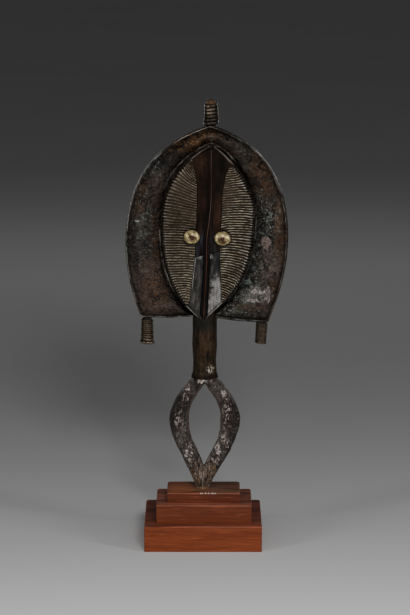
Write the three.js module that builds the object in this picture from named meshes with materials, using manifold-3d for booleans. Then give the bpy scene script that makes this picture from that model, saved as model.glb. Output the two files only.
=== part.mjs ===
// A reliquary figure: an openwork wooden base, a sheathed neck and a flat hooded head, on a stepped stand.
// Millimetres, +Z up, the face looks along -Y. The origin is the middle of the stand's underside.
import * as THREE from "three";
import { mergeVertices } from "three/addons/utils/BufferGeometryUtils.js";
import Module from "manifold-3d";

const wasm = await Module();
wasm.setup();

const { lerp, degToRad } = THREE.MathUtils;

// Fits
const GAP = 0.3; // clearance between pieces that touch
const BED = 0.8; // between the carved face and the metal on it
const SKIN = 1; // thickness of the metal sheets
const SEAM = 0.5; // between the strips and the plates beside them
const WELD = 1e-3; // points closer than this are one

// Stand of three slabs
const BOTTOM_SLAB = { width: 121, depth: 111, height: 27 };
const MIDDLE_SLAB = { width: 98.5, depth: 71, height: 19.3 };
const TOP_SLAB = { width: 75.5, depth: 50, height: 10.5 };
const FRONT_LEDGE = 11.4; // from the bottom slab's front to the middle slab's front
const MIDDLE_SHIFT = 0.9; // to the right of the bottom slab's middle
const TOP_SHIFT = 0.5;
const SLAB_ARRIS = 0.8; // planed edge round the top
const SLAB_CORNER = 1.6; // planed upright corners

// Openwork base, heights from the top slab
const FIGURE_SHIFT = 1.7; // the figure's axis to the right of the bottom slab's middle
const BASE_HEIGHT = 117.7;
const BASE = {
  bottom: 0, top: BASE_HEIGHT, foot: 6, footHandle: 21.4, footSpread: degToRad(19.7),
  halfWidth: 36.6, widest: 74.2, lowHandle: 23.1, highHandle: 5,
  head: 9.6, topHandle: 24.2, topSlope: degToRad(36.4),
};
const OPENING = {
  bottom: 21.7, top: 110.1, foot: 0, footHandle: 29.5, footSpread: degToRad(19.5),
  halfWidth: 16.5, widest: 76.9, lowHandle: 31.7, highHandle: 13.6,
  head: 0, topHandle: 5.4, topSlope: degToRad(5),
};
const FOOT_DRIFT = 2.2; // the foot stands this far to the left
const DRIFT_RISE = 38; // height over which it comes back to the axis
const LIMB = { depthTop: 11.5, depthMiddle: 10, depthFoot: 7.5, outerWidth: 4, outerDepth: 3.5 };
const LIMB_BEVEL = 0.4; // largest share of a limb's width that one bevel takes
const LIMB_CROSSING = 0.5; // the limbs run into each other where there is no opening
const NOTCH = 3; // chamfer along the inside of the opening
const NOTCH_RUN = 14; // it fades out this far past the opening's ends
const NOTCH_LEAST = 0.1; // share of it that goes on from there

// Neck, heights from the sheath's lower rim
const NECK_LENGTH = 60.5; // to the head's lower edge
const NECK_RUN = 12; // the sheath goes on behind the chin
const NECK_RADII = [[13.9, 0], [11.6, 10.5], [12.7, 33], [12.5, 55], [12.6, 73]];
const NECK_TENON = 8; // the neck's core goes down into the base
const NECK_RELIEF = 30; // the hood is cut round the neck from here up
const TONGUE_RUN = 28; // the wood behind the head tapers out over this height
const TONGUE_TAPER = 5.5; // and gets this much thinner

// Head board, in the head's own frame: across, up from its lower edge, and depth towards the viewer
const HEAD_LEAN = degToRad(2.3);
const RIM_DEPTH = 5; // front of the rim
const BACK_DEPTH = 5; // back of the rim
const BACK_SWELL = 6; // the back is this much fuller in the middle
const GROOVE = 1.2; // depth of the hood beside the face
const SWELL = { height: 4.5, skew: 0.8 }; // roundness of the hood between face and rim
const BEAD = { width: 1.8, height: 0.4, dip: 0.3 }; // folded edge of the hood
const LIP = 6; // the sheet's fold onto the back
const HOOD_BOTTOM = 0.6;
const ARCH = { rise: 2.4, from: 17 }; // the lower edge rises beside the neck
const NECK_SIDE = 11; // the hood's lower edge starts this far from the middle
const FACE_CLEAR = 1.6; // between the face's edge and the hood's sheet
const CHIN_CLEAR = 0.5; // between the chin and the sheath behind it

// Face
const FACE = {
  top: 180, bottom: 0.2, halfWidth: 47.5, middle: 95,
  chinDepth: 15.5, browDepth: 11.5, hollow: 2.7, bulge: 5, edge: 4, edgeShare: 0.4,
};
const PLATE = {
  half: 12.4, shift: 1.7, flare: 7.4, flareFrom: 95, flareSpan: 68, flarePower: 5,
  spread: 4, spreadFrom: 70, spreadSpan: 54, middleTop: 69, tip: 1,
};
const RIDGE = {
  height: 3, halfTop: 2.6, halfChin: 4.2, base: 0.5, chinTip: 2.4, topTip: 3,
  chin: 0.3, middle: 1.3, chinSpan: 60,
  bends: [{ at: 128, span: 28, out: 1.8 }, { at: 83, span: 15, out: -1.2 }],
};
const STRIPS = { count: 55, top: 160, relief: 0.8, lowEnd: 0.5, topStart: 0.65 };
const FACE_END = 9; // the carved face ends this far inside the plates' tips
const EYE = { halfWidth: 8, halfHeight: 7, height: 4.5, rimHeight: 1.1 };
const NAIL = { shank: 0.8, length: 10, head: 1.9, headHeight: 1 };

// What differs from one side of the head to the other
const LEFT = {
  name: "left", sign: -1,
  hood: {
    bottom: HOOD_BOTTOM, top: 201, foot: 64.2, footHandle: 44.9, footSpread: degToRad(22.7),
    halfWidth: 82.6, widest: 83.8, lowHandle: 15.6, highHandle: 36.7,
    head: 0, topHandle: 75.7, topSlope: degToRad(18.4),
  },
  face: {
    bottom: FACE.bottom, top: FACE.top, foot: 0, footHandle: 37.3, footSpread: degToRad(62),
    halfWidth: 46.4, widest: 104.5, lowHandle: 47, highHandle: 42,
    head: 0, topHandle: 23.5, topSlope: degToRad(25.9),
  },
  cheekTop: 65, stripBottom: 17, stripSlopeLow: -0.15, stripSlopeTop: 0.65, stripArch: 0.8,
  eye: [-15, 85.9], nail: [-13.9, 85.4],
};
const RIGHT = {
  name: "right", sign: 1,
  hood: {
    bottom: HOOD_BOTTOM, top: 201, foot: 67.1, footHandle: 15.8, footSpread: degToRad(15.4),
    halfWidth: 82.9, widest: 80.7, lowHandle: 37.7, highHandle: 104,
    head: 0, topHandle: 11, topSlope: degToRad(27),
  },
  face: {
    bottom: FACE.bottom, top: FACE.top, foot: 0, footHandle: 48.8, footSpread: degToRad(48.1),
    halfWidth: 48.2, widest: 112, lowHandle: 64.9, highHandle: 23.8,
    head: 0, topHandle: 18.6, topSlope: degToRad(4),
  },
  cheekTop: 73, stripBottom: 21.5, stripSlopeLow: -0.55, stripSlopeTop: 0.15, stripArch: 1.5,
  eye: [16.3, 85.6], nail: [15.9, 85],
};
const SIDES = [LEFT, RIGHT];

// Pegs wound with wire. Heights run from the board's edge out along the peg.
const PEG_TIP = 1.5; // rounding of the wood's end
const WIRE_DIP = 0.45; // how far out the valley between two turns of wire lies
const FINIAL = {
  name: "finial_wrap", at: [0.3, 199], back: 2.5, up: 1, tilt: degToRad(-2.5),
  radius: 5.2, root: 5.2, rootLength: 12, length: 28, wound: 25, wire: [2.3, 1.4], turns: 6, slant: 0.05,
};
const CORNER_LEFT = {
  name: "corner_wrap_left", at: [-57.5, -0.6], back: 0, up: -1, tilt: degToRad(-2.1),
  radius: 4.65, root: 3.4, rootLength: 6, length: 27, wound: 27.6, wire: [1.3, 1.7], turns: 12, slant: -0.03,
};
const CORNER_RIGHT = {
  name: "corner_wrap_right", at: [60.7, 0], back: 0, up: -1, tilt: degToRad(1.4),
  radius: 4.65, root: 3.4, rootLength: 6, length: 23, wound: 23.5, wire: [1.3, 0.7], turns: 12, slant: 0.04,
};
const PEGS = [FINIAL, CORNER_LEFT, CORNER_RIGHT];

// How finely the faceted forms are divided
const CURVE_POINTS = 30;
const EDGE_STEPS = { bottom: 3, low: 5, high: 8 };
const HOOD_STEPS = [0, 0.18, 0.5, 1];
const BACK_STEPS = [0.8, 0.45];
const LIMB_STEPS = 16;
const NECK_STEPS = 6;
const NECK_SIDES = 16;
const PEG_SIDES = 8;
const NAIL_SIDES = 8;
const EYE_SIDES = 14;
const EYE_STEPS = 5;
const FACE_ROWS = 12;
const FACE_REACH = [2, 1.5, 1, 0.5]; // 2 is the foot of the edge, 1 its shoulder
const PRISM_STEP = 3;
const CHEEK_ROWS = { count: 9, crowding: 1.5 };
const FOREHEAD_ROWS = { count: 11, crowding: 1.4 };
const RIDGE_ROWS = 16;
const FLAT_COLUMNS = [0, 0.5, 1]; // from the inner edge to the shoulder
const TURN_COLUMNS = [1.5, 2]; // over the face's edge
const STRIP_ALONG = [0, 0.45, 0.85, 0.95, 1]; // share of a strip's rise at each of its points
const STRIP_BACK_ROWS = 25;

const STAND_TOP = BOTTOM_SLAB.height + MIDDLE_SLAB.height + TOP_SLAB.height;
const RIM_HEIGHT = STAND_TOP + BASE_HEIGHT;
const HEAD_HEIGHT = RIM_HEIGHT + NECK_LENGTH;
const MIDDLE_SLAB_Y = (MIDDLE_SLAB.depth - BOTTOM_SLAB.depth) / 2 + FRONT_LEDGE;
const FIGURE_Y = MIDDLE_SLAB_Y;
const FACE_FOOT = GROOVE - SKIN;
const SHEATH_TOP = NECK_LENGTH + NECK_RUN;

// The part and the head's leaning frame
const part = new THREE.Group();
const head = new THREE.Group();
head.position.set(0, FIGURE_Y, HEAD_HEIGHT);
head.rotation.y = HEAD_LEAN;
head.updateMatrix();
part.add(head);
const headMatrix = head.matrix.clone();
const headInverse = headMatrix.clone().invert();

// Materials, one for each piece
function metal(color, roughness) {
  return new THREE.MeshStandardMaterial({ color, roughness, metalness: 0.8 });
}

function wood(color, roughness) {
  return new THREE.MeshStandardMaterial({ color, roughness, metalness: 0 });
}

function addPiece(group, name, geometry, material) {
  const mesh = new THREE.Mesh(geometry, material);
  mesh.name = name;
  group.add(mesh);
  return mesh;
}

// Mesh of points and triangles, turned so that its faces point outwards
function geometryFrom(points, triangles) {
  let volume = 0;
  for (let k = 0; k < triangles.length; k += 3) {
    const [a, b, c] = [points[triangles[k]], points[triangles[k + 1]], points[triangles[k + 2]]];
    volume += a.dot(b.clone().cross(c));
  }
  const geometry = new THREE.BufferGeometry().setFromPoints(points);
  geometry.setIndex(volume < 0 ? triangles.reverse() : triangles);
  return geometry;
}

// Closed body through rings of as many points each, shut by a fan at both ends
function closedLoft(rings) {
  const count = rings[0].length;
  const middle = (ring) =>
    ring.reduce((sum, p) => sum.add(p), new THREE.Vector3()).divideScalar(count);
  const points = [middle(rings[0]), ...rings.flat(), middle(rings.at(-1))];
  const tip = points.length - 1;
  const lastRing = tip - count;
  const triangles = [];
  for (let k = 0; k < count; k++) {
    const next = (k + 1) % count;
    triangles.push(0, 1 + next, 1 + k);
    for (let start = 1; start < lastRing; start += count) {
      triangles.push(start + k, start + next, start + count + k);
      triangles.push(start + next, start + count + next, start + count + k);
    }
    triangles.push(tip, lastRing + k, lastRing + next);
  }
  return geometryFrom(points, triangles);
}

// Band of triangles between two borders that may have different numbers of points
function zip(outer, inner) {
  const triangles = [];
  let i = 0;
  let j = 0;
  while (i + 1 < outer.length || j + 1 < inner.length) {
    const outerNext = (i + 1) / (outer.length - 1);
    const innerNext = (j + 1) / (inner.length - 1);
    if (j + 1 >= inner.length || (i + 1 < outer.length && outerNext <= innerNext)) {
      triangles.push(outer[i + 1], outer[i], inner[j]);
      i++;
    } else {
      triangles.push(inner[j], inner[j + 1], outer[i]);
      j++;
    }
  }
  return triangles;
}

// Closed sheet between a front and a back grid of points, which share their number of columns
function sheet(front, back) {
  const columns = front[0].length;
  const faces = (grid, offset, flip) => {
    const triangles = [];
    for (let r = 0; r + 1 < grid.length; r++) {
      for (let c = 0; c + 1 < columns; c++) {
        const a = offset + r * columns + c;
        const b = a + columns;
        triangles.push(...(flip ? [a, b, a + 1, a + 1, b, b + 1] : [a, a + 1, b, a + 1, b + 1, b]));
      }
    }
    return triangles;
  };
  const borders = (grid, offset) => {
    const along = (step, count, start) =>
      Array.from({ length: count }, (_, k) => offset + start + k * step);
    const lastRow = (grid.length - 1) * columns;
    return [
      along(1, columns, 0),
      along(columns, grid.length, columns - 1),
      along(1, columns, lastRow).reverse(),
      along(columns, grid.length, 0).reverse(),
    ];
  };
  const offset = front.length * columns;
  const backBorders = borders(back, offset);
  const triangles = [...faces(front, 0, false), ...faces(back, offset, true)];
  borders(front, 0).forEach((border, k) => triangles.push(...zip(border, backBorders[k])));
  return geometryFrom([...front.flat(), ...back.flat()], triangles);
}

// Body turned about +Z. The profile of [radius, height] ends on the axis or closes on itself.
function turned(profile, sides) {
  const points = profile.map(([radius, height]) => new THREE.Vector2(radius, height));
  return new THREE.LatheGeometry(points, sides).rotateX(Math.PI / 2);
}

// Closed geometry as a solid, moved by a matrix first
function solid(geometry, matrix = new THREE.Matrix4()) {
  const moved = geometry.clone().applyMatrix4(matrix);
  moved.deleteAttribute("normal");
  moved.deleteAttribute("uv");
  const merged = mergeVertices(moved, WELD);
  const index = Array.from(merged.index.array);
  const kept = [];
  for (let k = 0; k < index.length; k += 3) {
    const [a, b, c] = index.slice(k, k + 3);
    if (a !== b && b !== c && c !== a) kept.push(a, b, c);
  }
  const points = Array.from({ length: merged.attributes.position.count }, (_, k) =>
    new THREE.Vector3().fromBufferAttribute(merged.attributes.position, k));
  const closed = geometryFrom(points, kept);
  return new wasm.Manifold(new wasm.Mesh({
    numProp: 3,
    vertProperties: closed.attributes.position.array,
    triVerts: new Uint32Array(closed.index.array),
  }));
}

function geometryOf(body) {
  const mesh = body.getMesh();
  const geometry = new THREE.BufferGeometry();
  geometry.setAttribute("position", new THREE.BufferAttribute(mesh.vertProperties, 3));
  geometry.setIndex(new THREE.BufferAttribute(mesh.triVerts, 1));
  geometry.computeVertexNormals();
  return geometry;
}

function joined(solids) {
  return solids.reduce((sum, body) => sum.add(body));
}

// The main body that is left after the cutters
function cut(body, cutters) {
  const rest = cutters.reduce((left, cutter) => left.subtract(cutter), body);
  return rest.decompose().reduce((most, piece) => (piece.volume() > most.volume() ? piece : most));
}

// One side of a pointed outline: a low curve up to its widest place and a high curve to its top
function sideCurves(shape) {
  const along = (angle, length) => new THREE.Vector2(Math.sin(angle), Math.cos(angle))
    .multiplyScalar(length);
  const foot = new THREE.Vector2(shape.foot, shape.bottom);
  const widest = new THREE.Vector2(shape.halfWidth, shape.widest);
  const top = new THREE.Vector2(shape.head, shape.top);
  const low = new THREE.CubicBezierCurve(
    foot,
    foot.clone().add(along(shape.footSpread, shape.footHandle)),
    new THREE.Vector2(shape.halfWidth, shape.widest - shape.lowHandle),
    widest,
  );
  const high = new THREE.CubicBezierCurve(
    widest,
    new THREE.Vector2(shape.halfWidth, shape.widest + shape.highHandle),
    top.clone().add(along(Math.PI / 2 + shape.topSlope, shape.topHandle)),
    top,
  );
  return { low, high };
}

function sidePoints(shape) {
  const { low, high } = sideCurves(shape);
  return [...low.getPoints(CURVE_POINTS), ...high.getPoints(CURVE_POINTS).slice(1)];
}

// Half-width of an outline at a height
function halfWidthOf(shape) {
  const points = sidePoints(shape);
  return (height) => {
    const k = points.findIndex((p) => p.y >= height);
    if (k < 0) return shape.head;
    if (k === 0) return shape.foot;
    const [low, high] = [points[k - 1], points[k]];
    return lerp(low.x, high.x, (height - low.y) / (high.y - low.y));
  };
}

// Radius of the face's outline from its middle, by the angle from straight down
function faceRadiusOf(side) {
  const middle = new THREE.Vector2(0, FACE.middle);
  const polar = sidePoints(side.face).map((p) => {
    return { angle: Math.atan2(p.x, FACE.middle - p.y), radius: p.distanceTo(middle) };
  });
  return (angle) => {
    const k = Math.max(1, polar.findIndex((p) => p.angle >= angle));
    const [low, high] = [polar[k - 1], polar[k]];
    return lerp(low.radius, high.radius, (angle - low.angle) / (high.angle - low.angle));
  };
}

SIDES.forEach((side) => {
  side.faceHalf = halfWidthOf(side.face);
  side.faceRadius = faceRadiusOf(side);
});

// Face surface

const headPoint = (across, up, depth) => new THREE.Vector3(across, -depth, up);

// Depth along the middle of the face: the chin stands forward and the middle is hollow
function crown(height) {
  const rise = height / FACE.top;
  return lerp(FACE.chinDepth, FACE.browDepth, rise) - FACE.hollow * 4 * rise * (1 - rise);
}

// Width over which the face turns over its edge
function faceTurn(side, height) {
  return Math.min(FACE.edge, FACE.edgeShare * side.faceHalf(height));
}

// Point on the face: reach runs from 0 at the middle to 1 at the shoulder and 2 at the foot of the edge
function facePoint(side, height, reach, lift = 0) {
  const turn = faceTurn(side, height);
  const shoulder = side.faceHalf(height) - turn;
  const flat = shoulder * Math.min(reach, 1);
  const top = crown(height) - FACE.bulge * (flat / FACE.halfWidth) ** 2 + lift;
  const angle = (Math.max(reach - 1, 0) * Math.PI) / 2;
  const over = lift < 0 ? turn / (1 - lift / turn) : turn + lift;
  const across = flat + over * Math.sin(angle);
  return headPoint(side.sign * across, height, lerp(FACE_FOOT, top, Math.cos(angle)));
}

function reachAt(side, height, across) {
  const turn = faceTurn(side, height);
  const shoulder = side.faceHalf(height) - turn;
  if (across <= shoulder) return across / shoulder;
  return 1 + Math.asin(Math.min((across - shoulder) / turn, 1)) / (Math.PI / 2);
}

// Half-width of the plates down the middle of the face
function plateHalf(side, height) {
  const flare = Math.max((height - PLATE.flareFrom) / PLATE.flareSpan, 0) ** PLATE.flarePower;
  const spread = Math.max((PLATE.spreadFrom - height) / PLATE.spreadSpan, 0);
  return PLATE.half + side.sign * PLATE.shift + PLATE.flare * flare + PLATE.spread * spread;
}

// Slope of the strips, from 0 at the chin to 1 at the top
function stripSlope(side, order) {
  const low = Math.max(1 - order / STRIPS.lowEnd, 0);
  const top = Math.max((order - STRIPS.topStart) / (1 - STRIPS.topStart), 0);
  return side.stripSlopeLow * low + side.stripSlopeTop * top ** 2;
}

function stripRise(side, order) {
  const height = lerp(side.stripBottom, STRIPS.top, order);
  const run = Math.max(side.faceHalf(height) - plateHalf(side, height), 0);
  return stripSlope(side, order) * run;
}

// Middle of the nose ridge, across
function ridgeMiddle(height) {
  const bends = RIDGE.bends.map(({ at, span, out }) => out * Math.exp(-(((height - at) / span) ** 2)));
  const upper = bends.reduce((sum, bend) => sum + bend, RIDGE.middle);
  return lerp(RIDGE.chin, upper, Math.min(height / RIDGE.chinSpan, 1));
}

// Head board, seen from the middle of the face outwards

// Outline of one side of the hood, from the neck round to the top
function hoodOutline(side) {
  const { low, high } = sideCurves(side.hood);
  const bottom = [];
  for (let k = 0; k < EDGE_STEPS.bottom; k++) {
    const across = lerp(NECK_SIDE, side.hood.foot, k / EDGE_STEPS.bottom);
    const rise = ARCH.rise * Math.exp(-(((across - NECK_SIDE) / ARCH.from) ** 2));
    bottom.push(new THREE.Vector2(across, HOOD_BOTTOM + rise));
  }
  return [...bottom, ...low.getPoints(EDGE_STEPS.low), ...high.getPoints(EDGE_STEPS.high).slice(1)];
}

// Point on the ray from the middle of the face through an outline point
function rayPoint(side, outline, radius, depth) {
  const angle = Math.atan2(outline.x, FACE.middle - outline.y);
  return headPoint(side.sign * radius * Math.sin(angle), FACE.middle - radius * Math.cos(angle), depth);
}

function hoodDepth(share) {
  return lerp(GROOVE, RIM_DEPTH, share) + SWELL.height * Math.sin(Math.PI * share ** SWELL.skew);
}

// Section of the hood along one ray, from the face over the rim to the back, moved outwards by offset
function hoodSection(side, outline, offset, beadHeight = BEAD.height) {
  const rim = Math.hypot(outline.x, outline.y - FACE.middle);
  const inner = side.faceRadius(Math.atan2(outline.x, FACE.middle - outline.y)) + FACE_CLEAR;
  const bead = Math.max(rim - BEAD.width, inner + GAP);
  const at = (radius, depth) => rayPoint(side, outline, radius, depth);
  const front = HOOD_STEPS.map((share) => {
    const dip = share === 1 ? BEAD.dip : 0;
    return at(lerp(inner, bead, share), hoodDepth(share) - dip + offset);
  });
  return [
    ...front,
    at(rim + offset, RIM_DEPTH + beadHeight + offset),
    at(rim + offset, -BACK_DEPTH - offset),
  ];
}

function backDepth(share) {
  return -BACK_DEPTH - BACK_SWELL * (1 - share ** 2);
}

// Whole board, moved outwards by offset from the outer face of the sheets
function boardSolid(offset, beadHeight) {
  const sections = SIDES.flatMap((side) => {
    const stations = hoodOutline(side).map((outline) => {
      const rim = Math.hypot(outline.x, outline.y - FACE.middle);
      const back = BACK_STEPS.map((share) =>
        rayPoint(side, outline, rim * share, backDepth(share) - offset));
      return [...hoodSection(side, outline, offset, beadHeight), ...back];
    });
    return side === LEFT ? stations : stations.reverse().slice(1);
  });
  const rings = sections[0].map((_, k) => sections.map((section) => section[k]));
  return solid(closedLoft(rings));
}

function hoodSheet(side) {
  const outer = [];
  const inner = [];
  const outline = hoodOutline(side);
  if (side === RIGHT) outline.reverse(); // the facets then fold the same way as the wood's
  outline.forEach((point) => {
    const lip = (offset) => {
      const rim = Math.hypot(point.x, point.y - FACE.middle);
      const share = 1 - LIP / rim;
      return rayPoint(side, point, rim * share, backDepth(share) - offset);
    };
    const shift = point.x === 0 ? (side.sign * GAP) / 2 : 0;
    const section = (offset) => [...hoodSection(side, point, offset), lip(offset)].map((p) => {
      return new THREE.Vector3(p.x + shift, p.y, p.z);
    });
    outer.push(section(0));
    inner.push(section(-SKIN));
  });
  return solid(sheet(outer, inner));
}

// Radius of the sheath at a height from its lower rim
const neckCurve = new THREE.SplineCurve(NECK_RADII.map((point) => new THREE.Vector2(...point)));

function neckProfile(offset, from, to) {
  const end = Math.min(to, SHEATH_TOP);
  const points = neckCurve.getPoints(NECK_STEPS).filter((p) => p.y > from && p.y < end);
  const radiusAt = (height) => {
    const t = Math.min(Math.max(height / NECK_RADII.at(-1)[1], 0), 1);
    return neckCurve.getPoint(t).x;
  };
  return [
    [radiusAt(from) + offset, from],
    ...points.map((p) => [p.x + offset, p.y]),
    [radiusAt(to) + offset, to],
  ];
}

const neckPlace = new THREE.Matrix4().makeTranslation(FIGURE_SHIFT, FIGURE_Y, RIM_HEIGHT);
const neckInHead = headInverse.clone().multiply(neckPlace);

// Prism of the face's outline, grown by a margin, from behind the groove to in front of the chin
function facePrism(margin) {
  const ring = (depth) => SIDES.flatMap((side) => {
    const points = sidePoints(side.face).filter((_, k) => k % PRISM_STEP === 0).map((p) => {
      const radius = Math.hypot(p.x, p.y - FACE.middle) + margin;
      return rayPoint(side, p, radius, depth);
    });
    return side === LEFT ? points.slice(0, -1) : points.reverse().slice(0, -1);
  });
  return solid(closedLoft([ring(FACE_FOOT - GAP), ring(FACE.chinDepth + RIDGE.height)]));
}

// Carved wood under the strips and plates
function faceBlock() {
  const under = -SKIN - BED;
  const rows = Array.from({ length: FACE_ROWS + 1 }, (_, k) => {
    const height = lerp(FACE.bottom + FACE_END, FACE.top - FACE_END, k / FACE_ROWS);
    const row = (side, reaches) => reaches.map((reach) => facePoint(side, height, reach, under));
    const front = [...row(LEFT, FACE_REACH), ...row(RIGHT, [0, ...FACE_REACH.toReversed()])];
    const behind = (p) => new THREE.Vector3(p.x, GROOVE + SKIN, p.z);
    return [...front, behind(front.at(-1)), behind(front[0])];
  });
  return solid(closedLoft(rows));
}

// Eyes: a domed disc on the face with a nail through it
function eyeMatrix(side, place) {
  const [across, up] = place;
  const seat = crown(side.eye[1]) - FACE.bulge * (side.eye[0] / FACE.halfWidth) ** 2;
  const lean = Math.atan((2 * FACE.bulge * side.eye[0]) / FACE.halfWidth ** 2);
  const matrix = new THREE.Matrix4().makeRotationFromEuler(new THREE.Euler(Math.PI / 2, 0, lean));
  return matrix.setPosition(headPoint(across, up, seat + STRIPS.relief + GAP));
}

function nailShaft(side, radius) {
  const profile = [[0, -NAIL.length], [radius, -NAIL.length], [radius, EYE.height], [0, EYE.height]];
  return solid(turned(profile, NAIL_SIDES), eyeMatrix(side, side.nail));
}

function eyeBoss(side) {
  const dome = Array.from({ length: EYE_STEPS }, (_, k) => {
    const angle = (k / EYE_STEPS) * (Math.PI / 2);
    return [EYE.halfWidth * Math.cos(angle), lerp(EYE.rimHeight, EYE.height, Math.sin(angle))];
  });
  const profile = [[0, 0], [EYE.halfWidth, 0], ...dome, [0, EYE.height]];
  const disc = turned(profile, EYE_SIDES).scale(1, EYE.halfHeight / EYE.halfWidth, 1);
  return solid(disc, eyeMatrix(side, side.eye));
}

function eyeNail(side) {
  const { shank, length, head: headRadius, headHeight } = NAIL;
  const seat = EYE.height + GAP;
  const profile = [
    [0, GAP - length], [shank, GAP - length], [shank, seat], [headRadius, seat],
    [headRadius - headHeight / 2, seat + headHeight], [0, seat + headHeight],
  ];
  return turned(profile, NAIL_SIDES).applyMatrix4(eyeMatrix(side, side.nail));
}

// Plates and strips of the face

// Row of points on one half of the face, from an inner edge to the foot of the face's edge
function faceRow(side, heightAt, innerAt, lift) {
  const flat = FLAT_COLUMNS.map((share) => {
    const height = heightAt(share / 2);
    return facePoint(side, height, lerp(reachAt(side, height, innerAt(height)), 1, share), lift);
  });
  const turn = TURN_COLUMNS.map((reach) => facePoint(side, heightAt(reach / 2), reach, lift));
  return [...flat, ...turn];
}

// Slanting line where the cheek plates meet the forehead plate, from the middle outwards
function cheekLine(side, share) {
  return lerp(PLATE.middleTop, side.cheekTop, share / PLATE.half * side.faceHalf(side.cheekTop));
}

function cheekPlate(side) {
  const { count, crowding } = CHEEK_ROWS;
  const innerAt = (height) => side.sign * ridgeMiddle(height) + GAP / 2;
  const grid = (lift) => Array.from({ length: count + 1 }, (_, k) => {
    const order = (k / count) ** crowding;
    const heightAt = (share) =>
      lerp(FACE.bottom + PLATE.tip, cheekLine(side, share) - GAP / 2, order);
    return faceRow(side, heightAt, innerAt, lift);
  });
  return solid(sheet(grid(0), grid(-SKIN)));
}

function foreheadPlate() {
  const { count, crowding } = FOREHEAD_ROWS;
  const grid = (lift) => Array.from({ length: count + 1 }, (_, k) => {
    const order = 1 - (1 - k / count) ** crowding;
    const half = (side) => {
      const heightAt = (share) =>
        lerp(cheekLine(side, share) + GAP / 2, FACE.top - PLATE.tip, order);
      return faceRow(side, heightAt, () => 0, lift);
    };
    return [...half(LEFT).reverse(), ...half(RIGHT).slice(1)];
  });
  return solid(sheet(grid(0), grid(-SKIN)));
}

function noseRidge() {
  const rings = Array.from({ length: RIDGE_ROWS + 1 }, (_, k) => {
    const height = lerp(FACE.bottom + RIDGE.chinTip, FACE.top - RIDGE.topTip, k / RIDGE_ROWS);
    const middle = ridgeMiddle(height);
    const narrow = Math.min(LEFT.faceHalf(height), RIGHT.faceHalf(height)) / 2;
    const half = Math.min(lerp(RIDGE.halfChin, RIDGE.halfTop, height / FACE.top), narrow);
    const seat = crown(height) + GAP;
    const crest = Math.min(RIDGE.height, half);
    return [
      headPoint(middle - half, height, seat),
      headPoint(middle - half, height, seat + RIDGE.base),
      headPoint(middle, height, seat + crest),
      headPoint(middle + half, height, seat + RIDGE.base),
      headPoint(middle + half, height, seat),
    ];
  });
  return solid(closedLoft(rings));
}

// Row of points along one strip, from the plate over the face's edge. Grow widens it on every side.
function stripRow(side, order, lift, grow = 0) {
  const inner = lerp(side.stripBottom - grow, STRIPS.top + grow, order);
  const rise = stripRise(side, order);
  const arch = side.stripArch * 4 * order * (1 - order);
  const start = reachAt(side, inner, plateHalf(side, inner) + SEAM - grow);
  const middle = Math.max(1, lerp(start, 2, 0.4));
  const reaches = [start, lerp(start, middle, 0.5), middle, lerp(middle, 2, 0.5), 2];
  const points = reaches.map((reach, k) => {
    const along = STRIP_ALONG[k];
    return facePoint(side, inner + rise * along + arch * 4 * along * (1 - along), reach, lift);
  });
  const foot = points.at(-1);
  return grow > 0 ? [...points, foot.clone().setY(foot.y + grow)] : points;
}

function stripRows(side, steps, lift, grow) {
  return Array.from({ length: steps + 1 }, (_, k) => {
    const raised = typeof lift === "function" ? lift(k) : lift;
    return stripRow(side, k / steps, raised, grow);
  });
}

// All strips of one side as one ridged sheet that turns over the face's edge
function stripSheet(side) {
  const front = stripRows(side, 2 * STRIPS.count, (k) => (k % 2) * STRIPS.relief);
  return solid(sheet(front, stripRows(side, STRIP_BACK_ROWS, -SKIN)));
}

// Room that the strips of one side take, with the seam beside them
function stripRoom(side) {
  const deep = 3 * SKIN;
  return solid(sheet(
    stripRows(side, STRIP_BACK_ROWS, deep, SEAM),
    stripRows(side, STRIP_BACK_ROWS, -deep, SEAM),
  ));
}

// Pegs and the wire wound round them
function pegMatrix(peg) {
  const [across, up] = peg.at;
  const matrix = new THREE.Matrix4().makeRotationY(peg.tilt);
  return matrix.setPosition(headPoint(across, up, -peg.back));
}

function pegSolid(peg) {
  const { radius, root, rootLength, length, up } = peg;
  const profile = [
    [0, -rootLength], [root, -rootLength], [root, 0.5], [radius, 0.9],
    [radius, length - PEG_TIP], [radius - PEG_TIP, length], [0, length],
  ];
  return solid(turned(profile.map(([r, h]) => [r, h * up]), PEG_SIDES), pegMatrix(peg));
}

function pegHole(peg) {
  const radius = peg.root + GAP;
  const depth = peg.rootLength;
  const past = BEAD.width * 2;
  const profile = [[0, -depth], [radius, -depth], [radius, past], [0, past]];
  return solid(turned(profile.map(([r, h]) => [r, h * peg.up]), PEG_SIDES), pegMatrix(peg));
}

function wireWrap(peg) {
  const bore = peg.radius + GAP;
  const pitch = peg.wound / peg.turns;
  const profile = [[bore, 0]];
  for (let k = 0; k < peg.turns; k++) {
    const wire = lerp(peg.wire[0], peg.wire[1], k / (peg.turns - 1));
    profile.push([bore + wire * WIRE_DIP, k * pitch], [bore + wire, (k + 0.5) * pitch]);
  }
  profile.push([bore + peg.wire[1] * WIRE_DIP, peg.wound], [bore, peg.wound], [bore, 0]);
  const ring = turned(profile.map(([r, h]) => [r, h * peg.up]), PEG_SIDES);
  const slanted = new THREE.Matrix4().makeShear(0, peg.slant, 0, 0, 0, 0);
  return ring.applyMatrix4(slanted);
}

// Openwork base
const baseHalf = halfWidthOf(BASE);
const openingHalf = halfWidthOf(OPENING);

function limbDepth(height) {
  const rise = (2 * height) / BASE_HEIGHT;
  if (rise < 1) return lerp(LIMB.depthFoot, LIMB.depthMiddle, rise);
  return lerp(LIMB.depthMiddle, LIMB.depthTop, rise - 1);
}

function notchAt(height) {
  const past = Math.max(OPENING.bottom - height, height - OPENING.top, 0);
  return NOTCH * Math.max(1 - past / NOTCH_RUN, NOTCH_LEAST);
}

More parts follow.
